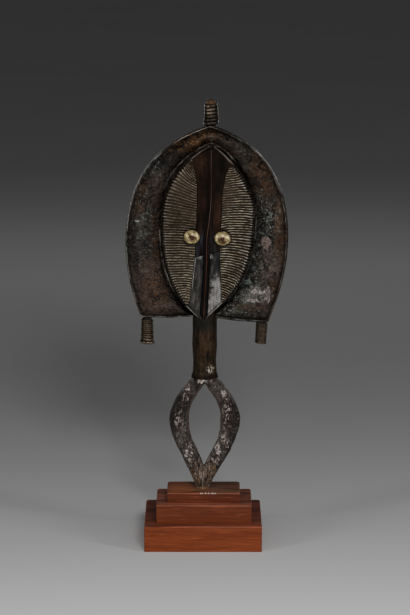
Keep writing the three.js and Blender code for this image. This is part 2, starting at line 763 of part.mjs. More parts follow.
function baseLimb(sign) {
  const rings = Array.from({ length: LIMB_STEPS + 1 }, (_, k) => {
    const height = (BASE_HEIGHT - GAP) * (k / LIMB_STEPS);
    const depth = limbDepth(height);
    const opening = openingHalf(height);
    const inner = opening > 0 ? opening : -LIMB_CROSSING;
    const outer = baseHalf(height);
    const bevel = (outer - inner) * LIMB_BEVEL;
    const notch = Math.min(notchAt(height), bevel);
    const side = Math.min(LIMB.outerWidth, bevel);
    const drift = -FOOT_DRIFT * Math.max(1 - height / DRIFT_RISE, 0);
    const front = [
      [inner, depth - notch], [inner + notch, depth],
      [outer - side, depth], [outer, depth - LIMB.outerDepth],
    ];
    const back = front.toReversed().map(([x, y]) => [x, -y]);
    return [...front, ...back].map(([x, y]) => new THREE.Vector3(sign * x + drift, y, height));
  });
  const place = new THREE.Matrix4().makeTranslation(FIGURE_SHIFT, FIGURE_Y, STAND_TOP);
  return solid(closedLoft(rings), place);
}

// Stand
function slab(size) {
  const ring = (inset, height) => {
    const x = size.width / 2 - inset;
    const y = size.depth / 2 - inset;
    const c = SLAB_CORNER;
    const right = [[x - c, -y], [x, c - y], [x, y - c], [x - c, y]];
    const left = right.toReversed().map(([px, py]) => [-px, py]);
    return [...right, ...left].map(([px, py]) => new THREE.Vector3(px, py, height));
  };
  return closedLoft([ring(0, 0), ring(0, size.height - SLAB_ARRIS), ring(SLAB_ARRIS, size.height)]);
}

// Wood figure
const neckCore = neckProfile(-SKIN - GAP, -NECK_TENON, SHEATH_TOP);
const [coreRadius, coreTop] = neckCore.at(-1);
const tongue = [[coreRadius - TONGUE_TAPER, coreTop + TONGUE_RUN], [0, coreTop + TONGUE_RUN]];
const neckWood = turned([[0, -NECK_TENON], ...neckCore, ...tongue], NECK_SIDES);
const headWood = boardSolid(-SKIN - GAP, 0)
  .add(solid(neckWood, neckInHead))
  .subtract(facePrism(GAP))
  .add(joined([faceBlock(), ...PEGS.map(pegSolid)]))
  .subtract(joined(SIDES.map((side) => nailShaft(side, NAIL.shank + GAP))));
const figure = joined([headWood.transform(headMatrix.elements), baseLimb(-1), baseLimb(1)]);
addPiece(part, "wood_figure", geometryOf(figure), wood(0x3b2c22, 0.75));

// Neck sheath
const sheathOuter = neckProfile(0, 0, SHEATH_TOP);
const sheathInner = neckProfile(-SKIN, 0, SHEATH_TOP).reverse();
const sheath = solid(turned([...sheathOuter, ...sheathInner, sheathOuter[0]], NECK_SIDES), neckPlace);
const envelope = boardSolid(GAP);
const sheathCutters = [envelope, facePrism(CHIN_CLEAR)]
  .map((cutter) => cutter.transform(headMatrix.elements));
addPiece(part, "neck_sheath", geometryOf(cut(sheath, sheathCutters)), metal(0x3a2a1d, 0.45));

// Hood sheets
const neckRelief = neckProfile(GAP, NECK_RELIEF, SHEATH_TOP + GAP);
const neckRoom = turned([[0, NECK_RELIEF], ...neckRelief, [0, SHEATH_TOP + GAP]], NECK_SIDES);
const neckCutter = solid(neckRoom, neckInHead);
SIDES.forEach((side) => {
  const holes = PEGS.map(pegHole);
  const body = cut(hoodSheet(side), [neckCutter, ...holes]);
  addPiece(head, `hood_sheet_${side.name}`, geometryOf(body), metal(0x38291f, 0.5));
});

// Face
const forehead = cut(foreheadPlate(), SIDES.map(stripRoom));
addPiece(head, "forehead_plate", geometryOf(forehead), metal(0x1f1713, 0.4));
addPiece(head, "nose_ridge", geometryOf(noseRidge()), metal(0x2a1f1a, 0.4));
SIDES.forEach((side) => {
  const cheek = cut(cheekPlate(side), [stripRoom(side)]);
  const bore = nailShaft(side, NAIL.shank + GAP);
  addPiece(head, `cheek_plate_${side.name}`, geometryOf(cheek), metal(0x4a4640, 0.45));
  addPiece(head, `strips_${side.name}`, geometryOf(cut(stripSheet(side), [bore])), metal(0x6f6444, 0.45));
  addPiece(head, `eye_boss_${side.name}`, geometryOf(cut(eyeBoss(side), [bore])), metal(0xc9b98a, 0.4));
  addPiece(head, `eye_nail_${side.name}`, eyeNail(side), metal(0x2a130c, 0.6));
});

// Wire
PEGS.forEach((peg) => {
  const matrix = pegMatrix(peg);
  const body = solid(wireWrap(peg)).subtract(envelope.transform(matrix.clone().invert().elements));
  const wrap = addPiece(head, peg.name, geometryOf(body), metal(0x6a5546, 0.5));
  wrap.applyMatrix4(matrix);
});

// Slabs
addPiece(part, "plinth_bottom_slab", slab(BOTTOM_SLAB), wood(0x7a3a26, 0.5));
const middleSlab = addPiece(part, "plinth_middle_slab", slab(MIDDLE_SLAB), wood(0x74371f, 0.5));
middleSlab.position.set(MIDDLE_SHIFT, MIDDLE_SLAB_Y, BOTTOM_SLAB.height);
const topSlab = addPiece(part, "plinth_top_slab", slab(TOP_SLAB), wood(0x7a3d27, 0.5));
topSlab.position.set(TOP_SHIFT, MIDDLE_SLAB_Y, BOTTOM_SLAB.height + MIDDLE_SLAB.height);

export default part;
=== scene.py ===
"""Looks of a reliquary figure on its stepped stand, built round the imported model.

Lengths are in millimetres up to the last step, where a mesh is written in metres.
"""
import math
from types import SimpleNamespace as Values

import bpy
import numpy as np
from bpy.props import FloatProperty, FloatVectorProperty, IntProperty, PointerProperty
from mathutils import Matrix, Vector, noise


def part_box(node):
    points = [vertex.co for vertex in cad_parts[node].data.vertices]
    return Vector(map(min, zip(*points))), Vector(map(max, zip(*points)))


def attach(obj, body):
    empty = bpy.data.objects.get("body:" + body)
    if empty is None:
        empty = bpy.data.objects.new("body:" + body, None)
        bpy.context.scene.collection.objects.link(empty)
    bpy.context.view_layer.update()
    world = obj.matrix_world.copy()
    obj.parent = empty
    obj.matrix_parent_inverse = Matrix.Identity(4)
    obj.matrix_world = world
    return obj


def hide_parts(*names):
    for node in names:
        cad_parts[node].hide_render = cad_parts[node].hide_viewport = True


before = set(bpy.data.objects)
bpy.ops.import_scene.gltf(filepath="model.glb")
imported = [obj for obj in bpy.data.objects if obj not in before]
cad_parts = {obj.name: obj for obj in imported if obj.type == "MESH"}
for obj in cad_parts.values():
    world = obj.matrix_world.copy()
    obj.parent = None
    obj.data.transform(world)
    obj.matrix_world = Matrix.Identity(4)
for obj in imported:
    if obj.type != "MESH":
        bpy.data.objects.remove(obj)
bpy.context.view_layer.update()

bl_info = {
    "name": "Reliquary figure",
    "version": (1, 0, 0),
    "blender": (4, 5, 0),
    "location": "View3D > Sidebar > Figure",
    "description": "Builds the sheets, strips, carved wood and stand of a reliquary figure",
    "category": "Object",
}

MM = 0.001
FIGURE_Y = -8.6
STAND_TOP = 56.8
BASE_HEIGHT = 117.7
RIM_HEIGHT = STAND_TOP + BASE_HEIGHT
HEAD_HEIGHT = 235.0
FIGURE_SHIFT = 1.7
SKIN = 1.0
PLAY = 0.3
SEAM = 0.5

# Head board
HEAD_LEAN = math.radians(2.3)
RIM_DEPTH = 5.0
BACK_DEPTH = 5.0
BACK_SWELL = 6.0
GROOVE = 1.2
HOOD_SWELL = 4.7
FACE_FOOT = GROOVE - SKIN
FACE_CLEAR = 1.6
NECK_SIDE = 11.0
HOOD_BOTTOM = 0.6
ARCH = Values(rise=2.4, run=17.0)
BEAD = 2.2
LIP = 6.0
FOIL = Values(x=54, z=260, wide=19, high=14)
# Shares of a hood sheet's rows: its front, then of the rest the rolled rim, the edge and the lip
HOOD_FRONT = 0.72
TURN = Values(rim=0.6, edge=0.2, back=0.2)
RIM_PROFILE = ((-BEAD, -0.45), (-BEAD + 0.35, 0.1), (-1.1, 0.38), (-0.45, 0.3), (-0.08, -0.15),
               (0, -0.7))
# Shares of the board's rows: its front, its edge and its back, which reaches almost to the middle
BOARD = Values(front=0.2, edge=0.1, back=0.7, reach=0.995)

# Face
FACE = Values(top=180.0, bottom=0.2, half=47.5, middle=95.0, chin=15.5, brow=11.5,
              hollow=2.7, bulge=5.0, edge=4.0, edge_share=0.4)
PLATE = Values(half=12.4, shift=1.7, flare=7.4, flare_from=95.0, flare_span=68.0, flare_power=5,
               spread=4.0, spread_from=70.0, spread_span=54.0, middle_top=69.0,
               inner_share=0.5, low_rows=0.3, high_rows=0.78, gap=0.15, lift=0.3)
RIDGE_BENDS = ((128.0, 28.0, 1.8), (83.0, 15.0, -1.2))
RIDGE_PROFILE = ((-1.0, 0.0), (-1.0, 0.3), (-0.6, 0.36), (-0.2, 0.72), (0.0, 1.0),
                 (0.2, 0.72), (0.6, 0.36), (1.0, 0.3), (1.0, 0.0))
RIDGE = Values(foot=2.4, head=3, low_half=4.2, high_half=2.6)
STRIP_TOP = 160.0
LOW_STRIP = 0.07
STRIP_ALONG = (0.0, 0.45, 0.85, 0.95, 1.0)
STRIP_ROWS = 8
EYE = Values(half_width=8.0, half_height=7.0, height=4.5, seat=1.1, rise=1.2)
BOSS_PROFILE = ((1.0, 0.0), (1.01, 0.12), (0.985, 0.24), (0.93, 0.36), (0.8, 0.6), (0.6, 0.8),
                (0.38, 0.93), (0.18, 0.985), (0.02, 1.0))
NAIL_PROFILE = ((0.0, -9.7), (0.8, -9.7), (0.8, 4.6), (1.9, 4.7), (1.85, 5.1), (1.3, 5.6),
                (0.6, 5.8), (0.02, 5.82))


def outline(foot, bottom, foot_handle, foot_spread, half, widest, low_handle, high_handle,
            head, top, top_handle, top_slope):
    """Handles of one side of a pointed outline, angles in degrees."""
    return Values(foot=foot, bottom=bottom, foot_handle=foot_handle,
                  foot_spread=math.radians(foot_spread), half=half, widest=widest,
                  low_handle=low_handle, high_handle=high_handle, head=head, top=top,
                  top_handle=top_handle, top_slope=math.radians(top_slope))


# Each side's rim weight scales its pale rim arris, partly wear and partly painted highlight.
LEFT = Values(
    name="left", sign=-1,
    hood=outline(64.2, HOOD_BOTTOM, 44.9, 22.7, 82.6, 83.8, 15.6, 36.7, 0, 201, 75.7, 18.4),
    face=outline(0, FACE.bottom, 37.3, 62, 46.4, 104.5, 47, 42, 0, FACE.top, 23.5, 25.9),
    cheek_top=65.0, strip_bottom=17.0, slope_low=-0.15, slope_top=0.85, slope_from=0.55,
    bend=1.3, arch=0.8, low_arch=1.9, rim_wear=1, eye=(-15.0, 85.9), nail=(-13.9, 85.4),
)
RIGHT = Values(
    name="right", sign=1,
    hood=outline(67.1, HOOD_BOTTOM, 15.8, 15.4, 82.9, 80.7, 37.7, 104, 0, 201, 11, 27),
    face=outline(0, FACE.bottom, 48.8, 48.1, 48.2, 112, 64.9, 23.8, 0, FACE.top, 18.6, 4),
    cheek_top=73.0, strip_bottom=21.5, slope_low=-0.55, slope_top=0.3, slope_from=0.6,
    bend=2.0, arch=1.5, low_arch=0.3, rim_wear=0.5, eye=(16.3, 85.6), nail=(15.9, 85.0),
)
SIDES = (LEFT, RIGHT)

# Base and neck
BASE = outline(6, 0, 21.4, 19.7, 36.6, 74.2, 23.1, 5, 9.6, BASE_HEIGHT, 24.2, 36.4)
OPENING = outline(0, 21.7, 29.5, 19.5, 16.5, 76.9, 31.7, 13.6, 0, 112.2, 12.5, 56)
LIMB = Values(foot=7.5, middle=10, top=11.5, bevel=0.4, notch=3, fade=14, side=4, fall=3.5,
              drift=-2.2, drift_height=38)
VOXEL = 0.6
NECK_FACETS = 16
NECK_RADII = ((13.9, 0.0), (11.6, 10.5), (12.7, 33.0), (12.5, 55.0), (12.6, 73.0))

FINIAL = Values(name="finial_wrap", at=(0.3, 199.0), back=2.5, up=1, tilt=math.radians(-2.5),
                radius=5.2, length=28.0, wound=25.0, wire=(2.5, 1.3), turns=6, loose=-0.5, open=0.0)
CORNER_LEFT = Values(name="corner_wrap_left", at=(-57.5, -0.6), back=0.0, up=-1,
                     tilt=math.radians(-2.1), radius=4.65, length=27.0, wound=27.6,
                     wire=(1.3, 2.0), turns=11, loose=1.3, open=0.4)
CORNER_RIGHT = Values(name="corner_wrap_right", at=(60.7, 0.0), back=0.0, up=-1,
                      tilt=math.radians(1.4), radius=4.65, length=23.0, wound=23.5,
                      wire=(1.3, 1.0), turns=11, loose=0.2, open=0.1)
PEGS = (FINIAL, CORNER_LEFT, CORNER_RIGHT)

# Slabs: node, dark and top tones, seed of the grain, share of the stand's colour, smaller on the
# higher slabs as painted shade
SLABS = (("plinth_bottom_slab", "52210f", "764030", 2.0, 0.7),
         ("plinth_middle_slab", "42190b", "955b49", 31.0, 0.48),
         ("plinth_top_slab", "3c1307", "724f3d", 57.0, 0.38))
# Strokes on the top slab: place across and half-width
STROKES = ((-2.6, 0.45), (-0.8, 0.45), (2.6, 0.65), (5.7, 0.6), (8.9, 0.5), (10.6, 0.5),
           (12.6, 0.45))
# Lights in metres, watts and degrees: name, place, aim, size, power, spread
LIGHTS = (("front", (0.3, -2.0, 1.1), (0, 0, 0.38), (0.4, 0.3), 16.5, 180),
          ("left", (-1.15, -1.0, 0.5), (0, 0, 0.3), (0.2, 0.7), 7, 180),
          ("right", (1.2, -0.9, 0.5), (0, 0, 0.3), (0.2, 0.7), 8, 180),
          ("back left", (-0.42, 1.0, 0.42), (0, 0, 0.42), (0.2, 0.3), 0.045, 40),
          ("back right", (0.42, 1.0, 0.42), (0, 0, 0.42), (0.2, 0.3), 0.045, 40),
          ("overhead", (0.0, -0.85, 0.6), (0, -0.75, 0), (1.3, 0.2), 5.4, 120),
          ("backdrop", (0.0, 1.7, 1.3), (0, 1.7, 0), (2.0, 0.6), 0.5, 90))
WORLD_LIGHT = 0.055
# Camera: the lens is its focal length in pixels of an image 615 high
CAMERA = Values(place=(0.002, -2.754, 0.751), down=10.4, lens=2712 / 615, sensor=36)

HEAD = Matrix.Translation((0, FIGURE_Y, HEAD_HEIGHT)) @ Matrix.Rotation(HEAD_LEAN, 4, "Y")


def lerp(low, high, share):
    return low + (high - low) * share


def clamp(value, low=0.0, high=1.0):
    return max(low, min(high, value))


def ramp(value, start, run):
    """0 up to start, then rising to 1 over the run."""
    return clamp((value - start) / run)


def hill(value, middle, width):
    return math.exp(-((value - middle) / width) ** 2)


def walk(path, share):
    """Point of a path at a share of its legs."""
    spot = share * (len(path) - 1)
    k = min(int(spot), len(path) - 2)
    return [lerp(a, b, spot - k) for a, b in zip(path[k], path[k + 1])]


def head_point(across, up, depth):
    return HEAD @ Vector((across, -depth, up))


def side_points(shape, low_steps=60, high_steps=60):
    """Points up one side of an outline: a low curve to its widest place, then a high one."""
    spread = (math.sin(shape.foot_spread), math.cos(shape.foot_spread))
    slope = (math.cos(shape.top_slope), -math.sin(shape.top_slope))
    low = ((shape.foot, shape.bottom),
           (shape.foot + spread[0] * shape.foot_handle,
            shape.bottom + spread[1] * shape.foot_handle),
           (shape.half, shape.widest - shape.low_handle),
           (shape.half, shape.widest))
    high = (low[3],
            (shape.half, shape.widest + shape.high_handle),
            (shape.head + slope[0] * shape.top_handle, shape.top + slope[1] * shape.top_handle),
            (shape.head, shape.top))

    def curve(points, steps, first):
        found = []
        for k in range(first, steps + 1):
            t = k / steps
            weights = ((1 - t) ** 3, 3 * t * (1 - t) ** 2, 3 * t * t * (1 - t), t ** 3)
            found.append(tuple(sum(w * p[axis] for w, p in zip(weights, points))
                               for axis in (0, 1)))
        return found

    return curve(low, low_steps, 0) + curve(high, high_steps, 1)


class Side:
    """Half-width by height and radius by angle of one outline."""

    def __init__(self, shape):
        points = side_points(shape)
        self.across = [p[0] for p in points]
        self.heights = [p[1] for p in points]
        self.angles = [math.atan2(p[0], FACE.middle - p[1]) for p in points]
        self.radii = [math.hypot(p[0], p[1] - FACE.middle) for p in points]

    def half(self, height):
        return float(np.interp(height, self.heights, self.across))

    def radius(self, angle):
        return float(np.interp(angle, self.angles, self.radii))


for _side in SIDES:
    _side.rim = Side(_side.face)
BASE_SIDE, OPENING_SIDE = Side(BASE), Side(OPENING)


def opening_half(height):
    """Half-width of the base's opening, 0 below and above it."""
    return OPENING_SIDE.half(height) if OPENING.bottom < height < OPENING.top else 0


def crown(height):
    rise = height / FACE.top
    return lerp(FACE.chin, FACE.brow, rise) - FACE.hollow * 4 * rise * (1 - rise)


def face_turn(side, height):
    return min(FACE.edge, FACE.edge_share * side.rim.half(height))


def face_point(side, height, reach, lift=0.0):
    """Point on the face: reach is 0 at the middle, 1 at the shoulder, 2 at the foot of the edge."""
    turn = face_turn(side, height)
    shoulder = side.rim.half(height) - turn
    flat = shoulder * min(reach, 1)
    top = crown(height) - FACE.bulge * (flat / FACE.half) ** 2 + lift
    angle = max(reach - 1, 0) * math.pi / 2
    over = turn / (1 - lift / turn) if lift < 0 else turn + lift
    return head_point(side.sign * (flat + over * math.sin(angle)), height,
                      lerp(FACE_FOOT, top, math.cos(angle)))


def reach_at(side, height, across):
    turn = face_turn(side, height)
    shoulder = side.rim.half(height) - turn
    if across <= shoulder:
        return across / shoulder
    return 1 + math.asin(clamp((across - shoulder) / turn)) / (math.pi / 2)


def plate_half(side, height):
    flare = max((height - PLATE.flare_from) / PLATE.flare_span, 0) ** PLATE.flare_power
    spread = max((PLATE.spread_from - height) / PLATE.spread_span, 0)
    return PLATE.half + side.sign * PLATE.shift + PLATE.flare * flare + PLATE.spread * spread


def strip_slope(side, order):
    low = max(1 - order / 0.5, 0)
    top = max((order - side.slope_from) / (1 - side.slope_from), 0)
    return side.slope_low * low + side.slope_top * top ** 1.5


def strip_height(side, order, along):
    """Height of a point that lies along the strip of that order."""
    inner = lerp(side.strip_bottom, STRIP_TOP, order)
    run = max(side.rim.half(inner) - plate_half(side, inner), 0)
    low = side.low_arch * order / LOW_STRIP * math.exp(1 - order / LOW_STRIP)
    arch = side.arch * 4 * order * (1 - order) + low
    bend = lerp(1, side.bend, order)
    return inner + strip_slope(side, order) * run * along ** bend + arch * 4 * along * (1 - along)


def strip_reach(side, order, along):
    inner = lerp(side.strip_bottom, STRIP_TOP, order)
    start = reach_at(side, inner, plate_half(side, inner) + SEAM)
    middle = max(1, lerp(start, 2, 0.4))
    reaches = (start, lerp(start, middle, 0.5), middle, lerp(middle, 2, 0.5), 2)
    return float(np.interp(along, STRIP_ALONG, reaches))


def ridge_middle(height):
    bends = sum(out * hill(height, at, span) for at, span, out in RIDGE_BENDS)
    return lerp(0.3, 1.3 + bends, min(height / 60, 1))


def grain(point, size, seed=0.0):
    """Smooth noise from -1 to 1 over lengths of about size."""
    return noise.noise(Vector(point) / size + Vector((seed, seed * 1.7, -seed)))


# Making meshes

def deselect():
    if bpy.context.object and bpy.context.object.mode != "OBJECT":
        bpy.ops.object.mode_set(mode="OBJECT")
    bpy.ops.object.select_all(action="DESELECT")


def make_active(piece):
    deselect()
    piece.select_set(True)
    bpy.context.view_layer.objects.active = piece


def apply(piece, kind, **settings):
    """Adds a modifier and applies it."""
    make_active(piece)
    modifier = piece.modifiers.new(kind.title(), kind)
    for key, value in settings.items():
        setattr(modifier, key, value)
    bpy.ops.object.modifier_apply(modifier=modifier.name)


def edit(piece, *steps):
    """Runs edit-mode operators on all of a piece."""
    make_active(piece)
    bpy.ops.object.mode_set(mode="EDIT")
    bpy.ops.mesh.select_all(action="SELECT")
    for step in steps:
        step()
    bpy.ops.object.mode_set(mode="OBJECT")


def edit_some(piece, kind, wanted, step):
    """Runs an edit-mode operator on the faces or edges that are wanted."""
    make_active(piece)
    bpy.ops.object.mode_set(mode="EDIT")
    bpy.ops.mesh.select_mode(type=kind)
    bpy.ops.mesh.select_all(action="DESELECT")
    bpy.ops.object.mode_set(mode="OBJECT")
    for part in piece.data.polygons if kind == "FACE" else piece.data.edges:
        part.select = wanted(part)
    bpy.ops.object.mode_set(mode="EDIT")
    step()
    bpy.ops.object.mode_set(mode="OBJECT")


def note(piece, mark, values):
    """Keeps a value on each point of a piece for its material."""
    kept = piece.data.attributes.new(mark, "FLOAT", "POINT")
    kept.data.foreach_set("value", values)


def grid_shares(spot):
    """Shares of a place on an unplaced grid, across and up."""
    return (spot.x + 1) / 2, (spot.y + 1) / 2


def grid(name, columns, rows, place, keep=None, thick=0.0, even=False, loop=False, facing=None,
         marks=None):
    """Grid whose points are placed by place(u, v) in millimetres.

    keep(u, v) says which cells stay, loop joins its first column to its last and caps its ends,
    thick is the wall that it gets, even keeps that wall full at bends (it throws spikes where cells
    are folded small), facing is the way that an open one faces, and marks names values that are
    kept on its points for the material.
    """
    deselect()
    bpy.ops.mesh.primitive_grid_add(x_subdivisions=columns, y_subdivisions=rows, size=2)
    piece = bpy.context.object
    piece.name = piece.data.name = name
    if keep:
        edit_some(piece, "FACE", lambda face: not keep(*grid_shares(face.center)),
                  lambda: bpy.ops.mesh.delete(type="FACE"))
    shares = [grid_shares(vertex.co) for vertex in piece.data.vertices]
    for mark, value in (marks or {}).items():
        note(piece, mark, [value(u, v) for u, v in shares])
    for vertex, (u, v) in zip(piece.data.vertices, shares):
        vertex.co = Vector(place(u, v)) * MM
    if loop:
        edit(piece,
             lambda: bpy.ops.mesh.remove_doubles(threshold=1e-6),
             lambda: bpy.ops.mesh.fill_holes(sides=0),
             lambda: bpy.ops.mesh.normals_make_consistent(inside=False))
    elif facing is not None:
        total = sum((face.normal * face.area for face in piece.data.polygons), Vector())
        if total.dot(Vector(facing)) < 0:
            edit(piece, bpy.ops.mesh.flip_normals)
    if thick:
        apply(piece, "SOLIDIFY", thickness=thick * MM, offset=-1, use_even_offset=even,
              thickness_clamp=2 if even else 0)
    return piece


def smooth(piece, degrees=50):
    make_active(piece)
    bpy.ops.object.shade_smooth_by_angle(angle=math.radians(degrees))


def join(name, pieces):
    make_active(pieces[0])
    for piece in pieces:
        piece.select_set(True)
    bpy.ops.object.join()
    piece = bpy.context.object
    piece.name = piece.data.name = name
    return piece


def settle(piece, material, slot, *nodes):
    """Gives a finished piece its material and its place in the frame."""
    piece.data.materials.clear()
    piece.data.materials.append(material)
    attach(piece, "root")
    if nodes:
        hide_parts(*nodes)


# Materials

def tint(code):
    """Linear colour of a six-digit screen colour."""
    parts = [int(code[k:k + 2], 16) / 255 for k in (0, 2, 4)]
    return tuple(c / 12.92 if c < 0.04045 else ((c + 0.055) / 1.055) ** 2.4 for c in parts) + (1.0,)


class Look:
    """Node tree of one material. Sizes and places are in millimetres."""

    def __init__(self, name, metallic=0.0, roughness=0.5, specular=0.5):
        self.material = bpy.data.materials.new(name)
        self.material.use_nodes = True
        self.tree = self.material.node_tree
        self.shader = self.tree.nodes["Principled BSDF"]
        self.shader.inputs["Metallic"].default_value = metallic
        self.shader.inputs["Roughness"].default_value = roughness
        self.shader.inputs["Specular IOR Level"].default_value = specular
        self.place = self.add("ShaderNodeTexCoord").outputs["Object"]

    def add(self, kind, **settings):
        node = self.tree.nodes.new(kind)
        for key, value in settings.items():
            setattr(node, key, value)
        return node

    def feed(self, socket, value):
        """Gives a socket a link, a number or a colour, which may be a screen code."""
        if isinstance(value, bpy.types.NodeSocket):
            self.tree.links.new(value, socket)
        else:
            socket.default_value = tint(value) if isinstance(value, str) else value

    def mapped(self, scale, shift=(0, 0, 0)):
        mapping = self.add("ShaderNodeMapping")
        self.feed(mapping.inputs["Vector"], self.place)
        mapping.inputs["Scale"].default_value = scale
        mapping.inputs["Location"].default_value = shift
        return mapping.outputs["Vector"]

    def noise(self, size, stretch=(1, 1, 1), detail=4.0, rough=0.55, twist=0.0, seed=0.0):
        node = self.add("ShaderNodeTexNoise")
        scale = [1 / (size * s * MM) for s in stretch]
        self.feed(node.inputs["Vector"], self.mapped(scale, (seed, seed * 2, -seed)))
        node.inputs["Scale"].default_value = 1
        node.inputs["Detail"].default_value = detail
        node.inputs["Roughness"].default_value = rough
        node.inputs["Distortion"].default_value = twist
        return node.outputs["Fac"]

    def cells(self, size, seed=0.0, feature="F1"):
        node = self.add("ShaderNodeTexVoronoi", feature=feature)
        scale = [1 / (size * MM)] * 3
        self.feed(node.inputs["Vector"], self.mapped(scale, (seed, -seed, seed)))
        node.inputs["Scale"].default_value = 1
        return node.outputs["Distance"]

    def span(self, value, low, high, start=0.0, end=1.0):
        node = self.add("ShaderNodeMapRange")
        self.feed(node.inputs["Value"], value)
        for key, number in (("From Min", low), ("From Max", high),
                            ("To Min", start), ("To Max", end)):
            node.inputs[key].default_value = number
        return node.outputs["Result"]

    def calc(self, operation, first, second=0.0):
        node = self.add("ShaderNodeMath", operation=operation)
        self.feed(node.inputs[0], first)
        self.feed(node.inputs[1], second)
        return node.outputs["Value"]

    def times(self, first, second):
        return self.calc("MULTIPLY", first, second)

    def plus(self, first, second):
        return self.calc("ADD", first, second)

    def most(self, first, second):
        return self.calc("MAXIMUM", first, second)

    def mix(self, share, first, second):
        node = self.add("ShaderNodeMix", data_type="RGBA")
        self.feed(node.inputs[0], share)
        self.feed(node.inputs[6], first)
        self.feed(node.inputs[7], second)
        return node.outputs[2]

    def coat(self, share, tone):
        """Lays a tone over the colour so far."""
        self.color = self.mix(share, self.color, tone)

    def wash(self, field, low, high, most, tone):
        """Lays a tone where a field passes from low to high, at most by the share."""
        self.coat(self.span(field, low, high, 0, most), tone)

    def near(self, x, z, wide, high, ragged=0.5, soft=0.35, grain_size=5.0):
        """Mask of a ragged patch round a place on the front."""
        scale = (1 / (wide * MM), 0, 1 / (high * MM))
        away = self.add("ShaderNodeVectorMath", operation="LENGTH")
        self.feed(away.inputs[0], self.mapped(scale, (-x / wide, 0, -z / high)))
        rough = self.noise(grain_size, detail=5, rough=0.65, seed=x + z)
        reach = self.plus(away.outputs["Value"], self.span(rough, 0.3, 0.7, -ragged, ragged))
        return self.span(reach, 1 + soft, 1 - soft)

    def patches(self, places, mask=None, **edge):
        """Greatest of some patches, each x, z, wide, high and, for a weaker one, its share."""
        for x, z, wide, high, *share in places:
            patch = self.near(x, z, wide, high, **edge)
            if share:
                patch = self.times(patch, share[0])
            mask = patch if mask is None else self.most(mask, patch)
        return mask

    def axis(self, name):
        node = self.add("ShaderNodeSeparateXYZ")
        self.feed(node.inputs[0], self.place)
        return node.outputs[name]

    def level(self, low, high):
        """Mask by height, in metres: 0 at low and 1 at high."""
        return self.span(self.axis("Z"), low, high)

    def mark(self, name):
        return self.add("ShaderNodeAttribute", attribute_name=name).outputs["Fac"]

    def finish(self, roughness=None, height=None, depth=0.3):
        self.feed(self.shader.inputs["Base Color"], self.color)
        if roughness is not None:
            self.feed(self.shader.inputs["Roughness"], roughness)
        if height is not None:
            bump = self.add("ShaderNodeBump")
            bump.inputs["Strength"].default_value = 1
            bump.inputs["Distance"].default_value = depth * MM
            self.feed(bump.inputs["Height"], height)
            self.feed(self.shader.inputs["Normal"], bump.outputs["Normal"])
        return self.material


